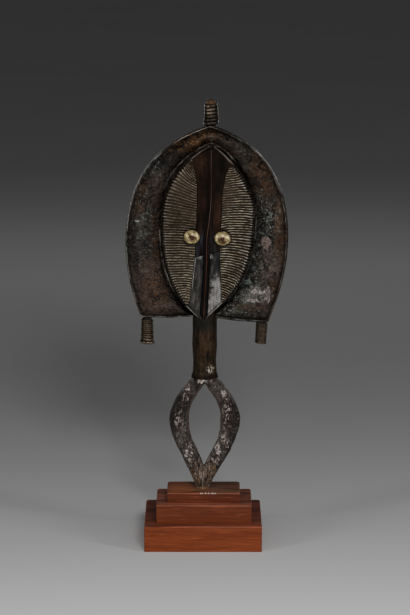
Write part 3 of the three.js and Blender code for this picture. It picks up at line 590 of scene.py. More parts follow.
def hood_metal(colors):
    """Old brown sheet, crumpled and mottled, with grey-green crust and a few pale patches, rims
    rubbed pale with painted highlights, painted highlights on the crumpled foil, dirt and painted
    shade in the groove by the face, and painted shade in the rims' folds.
    """
    look = Look("hood_metal", metallic=0.65, specular=0.3)
    broad = look.noise(20, detail=3, rough=0.5, twist=0.6, seed=3)
    mottle = look.noise(9, detail=4, rough=0.55, twist=0.9, seed=8)
    second = look.noise(7, detail=4, rough=0.55, twist=0.9, seed=61)
    fine = look.noise(2.4, detail=4, rough=0.6, twist=0.5, seed=5)
    look.color = look.mix(look.span(broad, 0.4, 0.6), "0e0a07", (*colors.hood, 1))
    look.wash(mottle, 0.48, 0.6, 0.75, "251b16")
    look.wash(second, 0.5, 0.6, 0.5, "23211c")
    warm = look.patches(((-12, 424, 21, 13, 1), (-43, 325, 8, 34, 1.0), (-50, 270, 12, 24, 1.2),
                         (60, 385, 14, 24, 0.8), (78, 330, 6, 40, 0.9), (72, 262, 6, 22, 1),
                         (-66, 372, 8, 26, 0.8)), soft=0.6)
    warm = look.times(warm, look.span(second, 0.4, 0.58, 0.05, 0.75))
    look.coat(warm, "4a3019")
    flecks = look.span(look.noise(1.9, detail=3, rough=0.6, twist=0.6, seed=111), 0.51, 0.6)
    flecks = look.times(flecks, look.level(0.4, 0.415))
    look.coat(look.times(flecks, warm), "86643e")
    purple = look.patches(((-45, 376, 14, 14, 0.5), (66, 292, 12, 22, 1.0), (52, 358, 22, 10, 0.3),
                           (26, 416, 20, 12, 0.45), (-60, 268, 14, 30, 0.7), (-50, 247, 22, 8, 0.9),
                           (62, 248, 18, 8, 0.7)), soft=0.6)
    purple = look.times(purple, look.span(mottle, 0.36, 0.56, 0.2, 1))
    look.coat(purple, "493c36")
    crust = look.span(look.noise(4.5, detail=6, rough=0.65, twist=1.4, seed=21), 0.52, 0.6)
    zone = look.near(52, 314, 15, 50, soft=0.7, ragged=0.6)
    zone = look.patches(((64, 342, 12, 16, 1), (-62, 338, 11, 34, 0.4), (-52, 395, 10, 12, 0.4),
                         (46, 268, 18, 26, 1), (30, 246, 14, 7, 0.9), (40, 385, 8, 30, 0.28)),
                        zone, soft=0.6, ragged=0.6)
    zone = look.plus(look.times(zone, 0.85), 0.05)
    look.coat(look.times(crust, zone), "707770")
    glints = look.span(look.noise(1.8, detail=3, rough=0.6, twist=0.8, seed=101), 0.57, 0.64)
    look.coat(look.times(glints, look.times(zone, zone)), "a4adab")
    spots = look.span(look.noise(4.5, detail=3, rough=0.5, twist=1.6, seed=41), 0.42, 0.56)
    foil = look.near(54, 259, 19, 14, soft=0.5)
    for x, z, wide, high, code, share in (
        (-63, 334, 4.0, 16, "474540", 0.6), (-67.5, 338, 2.2, 1.0, "a9acb0", 0.7),
        # Painted light on the crumpled foil: the grey patch at (56, 262) is partly the metal's tone
        # and partly a painted reflection, and the pale streaks at (55, 265) and (52, 256) are
        # painted highlights.
        (56, 262, 14, 8, "7b756f", 0.9), (46, 257, 9, 9, "64645f", 0.8),
        (55, 265, 8, 2.2, "b5aba6", 0.9), (52, 256, 7, 1.5, "a59b95", 0.9),
        (48, 249, 15, 4, "4c3c33", 1.0),
        (8.6, 419, 1.4, 7, "6b6c60", 0.9), (8.4, 410, 2.4, 2.2, "a8a49c", 1.0),
        (35, 246, 5, 4, "3f4133", 0.8),
    ):
        patch = look.near(x, z, wide, high, ragged=0.5, soft=0.3, grain_size=4)
        look.coat(look.times(look.times(patch, share), look.plus(spots, 0.25)), code)
    for *place, code in ((64.5, 316, 5.0, 6.2, "786962"), (66.5, 260.5, 2.4, 8.5, "7f746e"),
                         (45.5, 274, 3.8, 2.6, "738078")):
        look.coat(look.near(*place, ragged=0.25, soft=0.08, grain_size=5), code)
    specks = look.times(look.span(fine, 0.52, 0.6, 0, 0.55), look.span(foil, 0, 1, 1, 0.25))
    look.coat(specks, "090605")
    # Dirt and painted shade in the groove beside the face.
    groove_dirt_and_shade = look.times(look.mark("groove_dirt_and_shade"), look.span(mottle, 0.36, 0.6, 0.95, 0.45))
    look.coat(groove_dirt_and_shade, "0a0908")
    # Pale rim arris, lip above the face, seam and bare inner edge: partly wear, partly painted
    # highlight.
    wear_and_sheen = look.times(look.mark("crest"),
                      look.span(look.noise(14, detail=4, seed=51), 0.44, 0.62, 0.04, 0.9))
    look.coat(wear_and_sheen, "8d8a82")
    # Painted shade in the fold where the rim starts and on the sheets' side edge and back lip.
    look.coat(look.mark("crease"), "050403")
    creases = look.cells(6, seed=14, feature="DISTANCE_TO_EDGE")
    rough = look.span(second, 0.35, 0.65, 0.2, 0.45)
    rough = look.calc("SUBTRACT", rough, look.times(foil, 0.12))
    crumple = look.most(look.near(54, 260, 20, 16, soft=0.5), look.near(50, 325, 16, 40, soft=0.5))
    crumple = look.plus(look.times(crumple, 1.5), 0.55)
    dents = look.times(look.noise(4.2, detail=4, rough=0.5, twist=2.5, seed=91), crumple)
    dents = look.plus(dents, look.times(look.span(look.cells(13, seed=4), 0.05, 0.7), 0.8))
    folds = look.times(look.times(creases, foil), 3.0)
    fine = look.times(fine, look.span(foil, 0, 1, 0.8, 0.1))
    height = look.plus(look.plus(mottle, second), fine)
    return look.finish(rough, look.plus(look.plus(height, dents), folds), 1.2)


def dark_plate():
    """Smooth, almost black brown sheet over the brow."""
    look = Look("forehead_metal", metallic=0.7, specular=0.25)
    cloud = look.noise(14, stretch=(0.5, 1, 2), detail=5, seed=2)
    fine = look.noise(1.2, detail=4, rough=0.7, seed=6)
    look.color = look.mix(look.span(cloud, 0.35, 0.7), "0d0907", "29170e")
    look.wash(fine, 0.54, 0.66, 0.45, "3a2c22")
    dark = look.times(look.near(14, 388, 8, 20, soft=0.6), look.span(fine, 0.38, 0.55, 0.3, 0.9))
    look.coat(dark, "0e0c09")
    warm = look.most(look.near(-5, 398, 9, 14, soft=0.6), look.near(15, 350, 6, 12, soft=0.6))
    warm = look.times(warm, look.span(fine, 0.42, 0.58, 0.2, 1))
    look.coat(warm, "3c281c")
    streak = look.noise(1.8, stretch=(0.6, 1, 9), detail=4, rough=0.65, seed=44)
    look.wash(streak, 0.53, 0.64, 0.7, "080504")
    # Painted reflection: a blue-grey sheen between and below the eyes.
    blue_reflection = look.times(look.near(0, 312, 14, 14, soft=0.5), look.span(cloud, 0.4, 0.6))
    look.coat(look.times(blue_reflection, 0.8), "2d3138")
    # Pale line along the plate's top edge: partly wear, partly painted highlight.
    look.coat(look.mark("crest"), "f4e6dc")
    height = look.plus(cloud, look.times(fine, 0.3))
    return look.finish(look.span(cloud, 0.3, 0.7, 0.28, 0.5), height, 0.3)


def cheek_metal():
    """Streaked grey sheet, with a large pale patch on its right half that is a painted reflection,
    painted shade along its bend, and bright edges.
    """
    look = Look("cheek_metal", metallic=0.7)
    cloud = look.noise(7, stretch=(0.5, 1, 2.4), detail=5, rough=0.65, seed=12)
    streak = look.noise(2.4, stretch=(0.7, 1, 4), detail=5, rough=0.7, seed=33)
    fine = look.noise(1.2, stretch=(1.6, 1, 0.7), detail=4, rough=0.7, seed=9)
    look.color = look.mix(look.span(cloud, 0.38, 0.62), "12100f", "33302d")
    look.wash(streak, 0.52, 0.64, 0.7, "5b5853")
    # Painted reflection of the right-hand light: the large pale patch on the right half.
    wear_and_sheen = look.patches(((14, 269, 5.5, 12), (12.5, 252, 7, 15), (8, 241, 6, 8)),
                        ragged=0.3, soft=0.2, grain_size=4)
    wear_and_sheen = look.times(wear_and_sheen, look.span(fine, 0.36, 0.5, 0.45, 1))
    look.coat(wear_and_sheen, look.mix(look.span(streak, 0.4, 0.6), "5d5a57", "8f8c89"))
    look.coat(look.near(8.5, 270, 3, 0.9, ragged=0.3, soft=0.3, grain_size=1), "1a1614")
    high = look.times(look.level(0.285, 0.303), look.span(cloud, 0.36, 0.6, 1, 0.6))
    look.coat(high, "15171a")
    for x, z in ((-3.4, 302), (6.6, 302)):
        spot = look.near(x, z, 2.6, 1.9, ragged=0.8, soft=0.4, grain_size=1.4)
        look.coat(look.times(spot, look.span(fine, 0.4, 0.6, 0.2, 1)), "a19f98")
    # Painted shade along the bend where the plate turns over the face's edge.
    look.coat(look.mark("crease"), "060505")
    look.coat(look.times(look.mark("edge"), look.span(streak, 0.4, 0.55, 0.35, 1)), "aaa7a1")
    look.coat(look.mark("rim"), "d6d2ca")
    look.feed(look.shader.inputs["Metallic"], look.span(look.mark("rim"), 0, 1, 0.7, 0.05))
    look.wash(fine, 0.56, 0.7, 0.5, "1a1614")
    height = look.plus(cloud, look.plus(streak, look.times(fine, 0.4)))
    return look.finish(look.span(cloud, 0.3, 0.7, 0.28, 0.45), height, 0.45)


def ridge_metal():
    """Dark rib, rubbed pale along its arris with a painted highlight there, and painted shade on
    the flanks of its lower part.
    """
    look = Look("ridge_metal", metallic=0.4, specular=0.12)
    cloud = look.noise(6, stretch=(1, 1, 4), detail=5, seed=14)
    # Pale arris: partly wear, partly painted highlight.
    wear_and_sheen = look.span(look.mark("crest"), 0.8, 1.0)
    wear_and_sheen = look.times(wear_and_sheen, look.span(look.noise(14, stretch=(1, 1, 1.5), seed=31),
                                      0.35, 0.6, 0.4, 1))
    look.color = look.mix(look.span(cloud, 0.35, 0.7), "0b0605", "1f1410")
    high = look.level(0.3, 0.34)
    # Painted shade on the flanks of the lower ridge.
    low = look.times(look.level(0.315, 0.295), look.span(look.mark("crest"), 0.6, 0.42))
    look.coat(low, "020101")
    look.coat(wear_and_sheen, look.mix(high, "6e4838", "8c7466"))
    return look.finish(look.span(cloud, 0.3, 0.7, 0.3, 0.5), cloud, 0.25)


def strip_metal(colors):
    """Olive brass strips: rubbed bright in places with painted highlights, painted shade between
    them and round the eyes, each its own tone.
    """
    look = Look("strip_metal", metallic=0.75)
    crest = look.mark("crest")
    tone = look.noise(8, stretch=(2.2, 1, 0.2), detail=4, rough=0.7, seed=17)
    wear_and_sheen = look.noise(4.5, stretch=(1.6, 1, 0.3), detail=5, rough=0.75, seed=23)
    hue = look.noise(18, stretch=(1.2, 1, 0.6), detail=3, seed=37)
    look.color = look.mix(look.span(tone, 0.42, 0.58), "33271b", (*colors.strips, 1))
    look.wash(hue, 0.52, 0.64, 0.6, "4c4526")
    look.wash(hue, 0.48, 0.36, 0.6, "553a29")
    dim = look.most(look.near(-22, 362, 22, 38, soft=0.7), look.near(22, 372, 10, 22, soft=0.7))
    look.coat(look.times(look.near(-27, 288, 18, 26, soft=0.7), 0.45), "8f8978")
    # Pale streaks, partly wear and partly painted highlight, and dark streaks.
    look.wash(wear_and_sheen, 0.51, 0.62, 0.85, "b3ac9e")
    look.wash(wear_and_sheen, 0.45, 0.34, 0.8, "1d1611")
    look.coat(look.times(dim, 0.75), "46392a")
    broken = look.noise(1.3, stretch=(3.5, 1, 0.5), detail=4, rough=0.7, seed=71)
    look.wash(broken, 0.5, 0.6, 0.6, "2b2219")
    look.wash(broken, 0.46, 0.38, 0.45, "bdb39c")
    # Painted highlight on each strip's shoulder where it turns over the face's edge.
    turn = look.times(look.mark("turn"), look.span(wear_and_sheen, 0.44, 0.58, 0.15, 0.75))
    look.coat(turn, "94908a")
    look.coat(look.times(dim, 0.4), "3d3226")
    # Painted shade between the strips, lighter on the left half and in the dim zones.
    even = look.most(dim, look.span(look.axis("X"), 0.006, 0.0))
    look.coat(look.span(crest, 0.95, 0.5), look.mix(even, "1d1712", "382e23"))
    # Painted shadow round the eye discs.
    eye_shadow_ring = look.most(look.near(-11.5, 322, 9.4, 9, ragged=0.1, soft=0.12),
                     look.near(19.8, 321, 9.4, 9, ragged=0.1, soft=0.12))
    look.coat(eye_shadow_ring, "070504")
    return look.finish(look.span(wear_and_sheen, 0.3, 0.7, 0.26, 0.45), wear_and_sheen, 0.15)


def eye_metal(colors):
    """Pale rubbed brass with a painted highlight round its lower dome, browner round the nail, and
    painted shade at the rim.
    """
    look = Look("eye_metal", metallic=0.6)
    dome = look.mark("crest")
    cloud = look.noise(3.2, detail=5, rough=0.6, seed=7)
    speck = look.noise(1.3, detail=4, rough=0.7, seed=27)
    look.color = look.mix(look.span(cloud, 0.4, 0.6), "54452b", (*colors.eyes, 1))
    look.wash(speck, 0.5, 0.6, 0.6, "5e4c2c")
    # Painted highlight round the lower part of the dome.
    brim_highlight = look.times(look.span(dome, 0.62, 0.48), look.span(cloud, 0.4, 0.55, 0.3, 1))
    look.coat(brim_highlight, "e2cf94")
    stain = look.patches(((-10.2, 321.4, 3.9, 3.6), (19.4, 320.6, 3.2, 3.0), (21, 317.6, 3.2, 2.2)),
                         ragged=0.25, soft=0.4, grain_size=2)
    look.coat(look.times(stain, 0.85), "3a2010")
    # Painted shade round the foot of the dome.
    look.coat(look.span(dome, 0.36, 0.26), "0c0806")
    return look.finish(look.span(cloud, 0.3, 0.7, 0.22, 0.4), cloud, 0.35)


def rusty_iron():
    """Dark red-brown rust."""
    look = Look("nail_iron", metallic=0.3)
    cloud = look.noise(1.1, detail=5, rough=0.7, seed=3)
    look.color = look.mix(look.span(cloud, 0.35, 0.65), "1c0b08", "4c2014")
    return look.finish(look.span(cloud, 0.3, 0.7, 0.5, 0.8), cloud, 0.3)


def wire_metal():
    """Tarnished wire, brown to olive, with a painted highlight on its outside and painted shade
    between the turns.
    """
    look = Look("peg_wire", metallic=0.5, specular=0.25)
    crest = look.mark("crest")
    cloud = look.noise(7, detail=5, rough=0.65, seed=11)
    fine = look.noise(3.2, detail=4, rough=0.7, seed=19)
    look.color = look.mix(look.span(cloud, 0.38, 0.62), "211811", "3b2e21")
    # Painted highlight along the outside of each turn, strongest near the finial's top and the left
    # peg's end.
    bright = look.times(look.span(crest, 0.86, 0.98), look.span(fine, 0.42, 0.56, 0.15, 1))
    strong = look.most(look.near(5.8, 451, 5, 5, ragged=0.4, soft=0.4),
                       look.near(-58.6, 211, 10, 5, soft=0.4))
    bright = look.times(bright, look.span(strong, 0, 1, 0.25, 0.8))
    look.coat(bright, "857a66")
    look.coat(look.times(look.level(0.43, 0.435), look.span(strong, 1, 0, 0, 0.6)),
              "17130e")
    # Painted shade between the turns.
    look.coat(look.span(crest, 0.7, 0.35), "080605")
    return look.finish(look.span(fine, 0.3, 0.7, 0.25, 0.45), fine, 0.2)


def sheath_metal():
    """Dark brown sheet, wrinkled and streaked down its length, with a painted highlight near its
    rim and a painted shadow under the chin.
    """
    look = Look("sheath_metal", metallic=0.6, specular=0.3)
    streak = look.noise(3.4, stretch=(1, 1, 5), detail=5, rough=0.65, twist=0.3, seed=13)
    broad = look.noise(12, stretch=(0.6, 0.6, 1.8), detail=3, seed=29)
    fine = look.noise(1.5, stretch=(1, 1, 1.6), detail=4, rough=0.7, seed=2)
    look.color = look.mix(look.span(streak, 0.4, 0.62), "0c0805", "322110")
    look.coat(look.times(look.near(3, 212, 9, 28, soft=0.7), look.span(streak, 0.44, 0.58, 0, 0.7)),
              "3c2a19")
    look.coat(look.times(look.near(2, 181, 14, 6, soft=0.6), look.span(streak, 0.4, 0.6)), "2a2714")
    flecks = look.noise(1.8, stretch=(1, 1, 1.4), detail=4, rough=0.65, twist=0.5, seed=91)
    look.wash(flecks, 0.54, 0.64, 0.5, "4b3f22")
    look.wash(flecks, 0.46, 0.36, 0.6, "0d0805")
    # Painted shadow under the chin.
    look.coat(look.near(0, 232, 14, 6, soft=0.6, ragged=0.4), "131410")
    hem = look.plus(look.axis("Z"),
                    look.span(look.noise(3, detail=3, seed=81), 0.3, 0.7, -0.0009, 0.0009))
    hem = look.span(hem, 0.1795, 0.178)
    look.coat(look.times(hem, 0.85), look.mix(look.span(flecks, 0.5, 0.62), "0b0705", "3a2413"))
    # Painted highlight near the foot of the neck.
    wear_and_sheen = look.near(7.8, 184.6, 3.6, 3.4, ragged=0.6, soft=0.3, grain_size=2)
    wear_and_sheen = look.times(wear_and_sheen, look.span(look.noise(1.9, stretch=(0.7, 1, 1.5), seed=71), 0.5, 0.6))
    look.coat(wear_and_sheen, "bdb8aa")
    height = look.plus(look.times(streak, 1.5), look.plus(broad, look.times(fine, 0.3)))
    rough = look.plus(look.span(streak, 0.3, 0.7, 0.26, 0.5), look.times(hem, 0.3))
    return look.finish(rough, height, 0.9)


def crusted_wood(colors):
    """Dark dry wood with a pale crust in its hollows, ochre at the foot, reddish at the tip."""
    look = Look("carved_wood", specular=0.3)
    fibre = look.noise(2.6, stretch=(1, 1, 4), detail=6, rough=0.7, twist=0.4, seed=15)
    cloud = look.noise(11, stretch=(1, 1, 1.6), detail=4, rough=0.6, twist=0.9, seed=25)
    lumps = look.noise(4.6, stretch=(1, 1, 1.7), detail=7, rough=0.72, twist=1.4, seed=45)
    fine = look.noise(1.5, stretch=(1, 1, 1.5), detail=4, rough=0.7, seed=35)
    look.color = look.mix(look.span(fibre, 0.42, 0.6), "050303", (*colors.wood, 1))
    look.wash(cloud, 0.5, 0.6, 0.6, "2f1f1b")
    facet = look.mark("facet")
    look.coat(look.times(facet, look.span(lumps, 0.4, 0.6, 0.35, 0.9)), "5a4a42")
    zone = look.near(0, 172, 14, 2.4)
    zone = look.patches(((-24, 132, 6, 8), (24, 140, 4, 10), (26, 159, 8, 9), (-20, 163, 8, 7),
                         (6, 86, 8, 7), (21, 109, 7, 9), (15, 97, 7, 11), (-14, 98, 5, 14)),
                        zone, ragged=0.6, soft=0.6, grain_size=4)
    raised = look.plus(lumps, look.times(zone, 0.15))
    raised = look.plus(raised, look.times(fine, 0.4))
    patch = look.span(raised, 0.755, 0.89)
    patch = look.times(patch, look.level(0.176, 0.1725))
    shade = look.mix(look.span(fine, 0.4, 0.58), "43362f", "80736a")
    shade = look.mix(look.span(raised, 0.85, 0.91), shade, "c4b7af")
    ash = look.patches(((-21, 112, 6, 17), (-14, 93, 7, 9), (14, 96, 7, 12), (20, 112, 6, 10),
                        (-18, 165, 9, 6), (21, 162, 12, 10)), ragged=0.5, soft=0.5, grain_size=4)
    ash = look.times(ash, look.span(lumps, 0.4, 0.52, 0.25, 0.9))
    look.coat(ash, look.mix(look.span(fine, 0.42, 0.6), "3b3531", "756c66"))
    look.coat(patch, shade)
    pits = look.noise(1.6, stretch=(1, 1, 1.3), detail=4, rough=0.7, twist=0.6, seed=121)
    look.wash(pits, 0.49, 0.41, 0.8, "0b0807")
    look.wash(pits, 0.57, 0.65, 0.55, "8d847c")
    foot = look.near(0, 72, 14, 14, ragged=0.7, soft=0.5, grain_size=3)
    look.coat(look.times(foot, look.span(fibre, 0.43, 0.55, 0, 0.9)), "6b543c")
    stripes = look.noise(1.8, stretch=(1, 1, 5), detail=4, rough=0.6, twist=0.5, seed=55)
    stripes = look.span(stripes, 0.52, 0.6, 0, 0.8)
    look.coat(look.times(foot, stripes), "93887f")
    grit = look.times(look.level(0.0594, 0.0578), look.span(fine, 0.44, 0.56, 0.15, 1))
    look.coat(grit, "a98a62")
    look.coat(look.level(0.4555, 0.458), "57402e")
    length = look.noise(3.4, stretch=(1, 1, 16), detail=5, rough=0.6, seed=65)
    bare = look.mix(look.span(length, 0.36, 0.64), "3c2919", "806040")
    bare = look.mix(look.span(cloud, 0.42, 0.6, 0, 0.6), bare, "4a3522")
    board = look.times(look.level(0.2335, 0.2345),
                       look.span(look.axis("Y"), -0.0066, -0.0056))
    board = look.times(board, look.level(0.4365, 0.4355))
    look.coat(board, bare)
    height = look.plus(look.times(fibre, 0.7), look.times(lumps, 1.8))
    height = look.plus(look.plus(height, look.times(patch, 0.4)), fine)
    return look.finish(look.span(fine, 0.3, 0.7, 0.3, 0.6), height, 1.5)


def stand_wood(name, red, dark, top_tone, seed, top):
    """Stained and waxed wood with its grain along the slab, darker on top."""
    look = Look(name, specular=0.2)
    figure = look.noise(9, stretch=(9, 1.2, 0.5), detail=6, rough=0.65, twist=0.6, seed=seed)
    pores = look.noise(1.4, stretch=(8, 1, 0.7), detail=4, rough=0.7, seed=seed + 4)
    streaks = look.noise(4, stretch=(8, 1, 0.35), detail=4, rough=0.65, seed=seed + 17)
    look.color = look.mix(look.span(figure, 0.24, 0.54), dark, red)
    look.wash(pores, 0.54, 0.68, 0.35, dark)
    look.wash(streaks, 0.56, 0.72, 0.5, "240b06")
    look.wash(streaks, 0.44, 0.34, 0.35, "a8563a")
    facing = look.add("ShaderNodeSeparateXYZ")
    look.feed(facing.inputs[0], look.add("ShaderNodeNewGeometry").outputs["Normal"])
    up = look.span(facing.outputs["Z"], 0.5, 0.95, 0, 0.95)
    shade = look.mix(look.span(figure, 0.34, 0.56), "3a170e", top_tone)
    look.coat(up, shade)
    # Pale top arris: partly wear, partly painted highlight.
    wear_and_sheen = look.times(look.level((top - 1.1) * MM, (top - 0.4) * MM),
                     look.span(facing.outputs["Z"], 0.8, 0.4, 0, 0.35))
    look.coat(look.times(wear_and_sheen, look.span(figure, 0.34, 0.5)), "b07056")
    if "top" in name:
        glow = look.times(look.near(-24, STAND_TOP, 14, 9, soft=0.6), up)
        look.coat(look.times(glow, 0.6), "9a5a38")
        marks = look.patches([(x, STAND_TOP - 0.35, wide, 0.5) for x, wide in STROKES],
                             ragged=0.2, soft=0.2, grain_size=0.8)
        front = look.span(look.axis("Y"), (FIGURE_Y - 23.2) * MM, (FIGURE_Y - 24.2) * MM)
        look.coat(look.times(marks, front), "d8cfc4")
    height = look.plus(figure, look.times(pores, 0.6))
    return look.finish(look.span(figure, 0.3, 0.7, 0.34, 0.5), height, 0.2)


def floor_paint():
    """Plain pale grey."""
    look = Look("floor_paint", roughness=0.85)
    look.color = look.mix(look.span(look.noise(400, detail=2), 0.3, 0.7), "c6c6c6", "cacaca")
    return look.finish()


# Settings

class FIGURE_sizes(bpy.types.PropertyGroup):
    """Sizes of the handwork."""

    hammer: FloatProperty(name="Hammer marks", description="Depth of the dents in the hood",
                          default=0.7 * MM, min=0, max=3 * MM, unit="LENGTH")
    strips: IntProperty(name="Strips", description="Metal strips on each side of the face",
                        default=55, min=10, max=90)
    relief: FloatProperty(name="Strip relief", description="Height of a strip's crown",
                          default=0.8 * MM, min=0.1 * MM, max=2 * MM, unit="LENGTH")
    ridge: FloatProperty(name="Nose ridge", description="Height of the rib down the face",
                         default=3.0 * MM, min=1 * MM, max=6 * MM, unit="LENGTH")
    carving: FloatProperty(name="Carving marks", description="Roughness of the carved wood",
                           default=0.5 * MM, min=0, max=2 * MM, unit="LENGTH")
    arris: FloatProperty(name="Slab arris", description="Rounding of the slabs' edges",
                         default=0.8 * MM, min=0.2 * MM, max=3 * MM, unit="LENGTH")


class FIGURE_colors(bpy.types.PropertyGroup):
    """Main colours."""

    hood: FloatVectorProperty(name="Hood", description="Brown of the hood's sheets",
                              subtype="COLOR", default=tint("20170f")[:3], min=0, max=1)
    strips: FloatVectorProperty(name="Strips", description="Brass of the strips", subtype="COLOR",
                                default=tint("857a61")[:3], min=0, max=1)
    eyes: FloatVectorProperty(name="Eyes", description="Brass of the eye discs", subtype="COLOR",
                              default=tint("cdb682")[:3], min=0, max=1)
    wood: FloatVectorProperty(name="Carved wood", description="Brown of the bare carving",
                              subtype="COLOR", default=tint("20140f")[:3], min=0, max=1)
    stand: FloatVectorProperty(name="Stand", description="Red-brown of the slabs", subtype="COLOR",
                               default=tint("823f21")[:3], min=0, max=1)


def sizes():
    return bpy.context.scene.figure_sizes


def colors():
    return bpy.context.scene.figure_colors


# Hood

def hood_outline(side, bottom_steps=14, low_steps=40, high_steps=70):
    points = []
    for k in range(bottom_steps):
        across = lerp(NECK_SIDE, side.hood.foot, k / bottom_steps)
        rise = ARCH.rise * hill(across, NECK_SIDE, ARCH.run)
        points.append((across, HOOD_BOTTOM + rise))
    return points + side_points(side.hood, low_steps, high_steps)


def ray_point(side, point, radius, depth):
    angle = math.atan2(point[0], FACE.middle - point[1])
    return head_point(side.sign * radius * math.sin(angle),
                      FACE.middle - radius * math.cos(angle), depth)


def back_depth(share):
    return -BACK_DEPTH - BACK_SWELL * (1 - share ** 2)


def hood_depth(share):
    return lerp(GROOVE, RIM_DEPTH, share) + HOOD_SWELL * math.sin(math.pi * share) ** 1.2


def hood_dents(point, share, depth):
    """Hollows and ridges of the hammered sheet, fading at the face and the rim."""
    broad = 1.0 * grain(point, 22, 4) + 0.7 * grain(point, 10, 9)
    ridged = 0.5 * (1 - 2 * abs(grain(point, 6, 2))) + 0.25 * grain(point, 3, 5)
    x, z = point.x, point.z
    foil = math.exp(-((x - FOIL.x) / FOIL.wide) ** 2 - ((z - FOIL.z) / FOIL.high) ** 2)
    folds = foil * (1.1 * (1 - 2 * abs(grain(point, 8, 12)))
                    + 0.7 * (1 - 2 * abs(grain(point, 4.5, 21))))
    fade = clamp(share / 0.2) * clamp((1 - share) / 0.12)
    return depth * (broad + ridged + folds) * fade


def arch_lip(u, share):
    """Raised inner edge of the sheets round the top of the face."""
    return ramp(u, 0.72, 0.08) * hill(share, 0.05, 0.05)


def seam_fold(u, share):
    """Lapped fold where the two sheets meet above the face."""
    return ramp(u, 0.991, 0.006) * clamp((0.6 - share) / 0.3)


def inner_edge(u, share):
    """Bare edge of the sheets beside the lower half of the face."""
    return hill(share, 0, 0.03) * clamp((0.6 - u) / 0.1)


def rim_crest(v):
    """How far a point of the rim lies on its front arris, which is rubbed pale and given a painted
    highlight.
    """
    return hill(v, HOOD_FRONT + 0.075, 0.02)


def hood_sheet(side, depth):
    points = hood_outline(side)

    def place(u, v):
        point = walk(points, u)
        rim = math.hypot(point[0], point[1] - FACE.middle)
        inner = side.rim.radius(math.atan2(point[0], FACE.middle - point[1])) + FACE_CLEAR
        bead = max(rim - BEAD, inner + 0.3)
        shift = Vector((side.sign * 0.15 * ramp(u, 0.97, 0.03), 0, 0))
        if v <= HOOD_FRONT:
            share = v / HOOD_FRONT
            depth_here = hood_depth(share) - 0.3 * ramp(share, 0.9, 0.1)
            depth_here += 1.2 * arch_lip(u, share) + 0.5 * seam_fold(u, share)
            flat = ray_point(side, point, lerp(inner, bead, share), depth_here)
            return flat + shift + Vector((0, -hood_dents(flat, share, depth), 0))
        turn = (v - HOOD_FRONT) / (1 - HOOD_FRONT)
        if turn <= TURN.rim:
            out, up = walk(RIM_PROFILE, turn / TURN.rim)
            wave = 0.15 * grain((u * 300, v * 10, side.sign), 5, 3)
            radius = max(rim + out, inner + 0.3)
            return ray_point(side, point, radius, RIM_DEPTH + up + wave) + shift
        if turn <= TURN.rim + TURN.edge:
            down = (turn - TURN.rim) / TURN.edge
            return ray_point(side, point, rim, lerp(RIM_DEPTH - 0.7, -BACK_DEPTH, down)) + shift
        back = (turn - TURN.rim - TURN.edge) / TURN.back
        ragged = LIP * (0.8 + 0.35 * grain((u * 200, 0, side.sign), 6, 5))
        share = 1 - back * ragged / rim
        return ray_point(side, point, rim * share, back_depth(share)) + shift

    # Pale rim arris, lip, seam and inner edge for the material: partly wear, partly painted
    # highlight.
    def crest(u, v):
        share = v / HOOD_FRONT
        return max(rim_crest(v) * side.rim_wear, 0.5 * arch_lip(u, share),
                   0.6 * seam_fold(u, share), 0.8 * inner_edge(u, share))

    # Dirt and painted shade in the groove beside the face, less under the lip and at the seam.
    def groove_dirt_and_shade(u, v):
        share = v / HOOD_FRONT
        return (clamp((0.28 - share) / 0.2) * (1 - arch_lip(u, share))
                * (1 - 0.8 * ramp(u, 0.97, 0.02)))

    # Painted shade in the fold where the rim starts and on the sheets' side edge and back lip.
    def crease(u, v):
        return max(hill(v, HOOD_FRONT - 0.015, 0.015), ramp(v, 0.9, 0.03))

    return grid(f"hood_{side.name}", 200, 60, place, thick=SKIN, even=True,
                marks={"crest": crest, "groove_dirt_and_shade": groove_dirt_and_shade, "crease": crease})


class FIGURE_OT_hood(bpy.types.Operator):
    """Builds the two hammered sheets of the hood."""

    bl_idname = "figure.hood"
    bl_label = "Hood sheets"

    def execute(self, context):
        material = hood_metal(colors())
        for side in SIDES:
            sheet = hood_sheet(side, sizes().hammer / MM)
            smooth(sheet, 40)
            settle(sheet, material, "hood_metal", f"hood_sheet_{side.name}")
        return {"FINISHED"}


# Face

def cheek_line(side, share):
    out = share / PLATE.half * side.rim.half(side.cheek_top)
    return lerp(PLATE.middle_top, side.cheek_top, out)


def plate_row(side, inner, outer, u, inner_share):
    """Reach of a plate's column: an inner band up to the strips, then on over the face's edge."""
    if u <= inner_share:
        return lerp(inner, outer, u / inner_share)
    return lerp(outer, 2, (u - inner_share) / (1 - inner_share))


def face_dents(point):
    return 0.25 * grain(point, 9, 6) + 0.12 * grain(point, 4, 1)


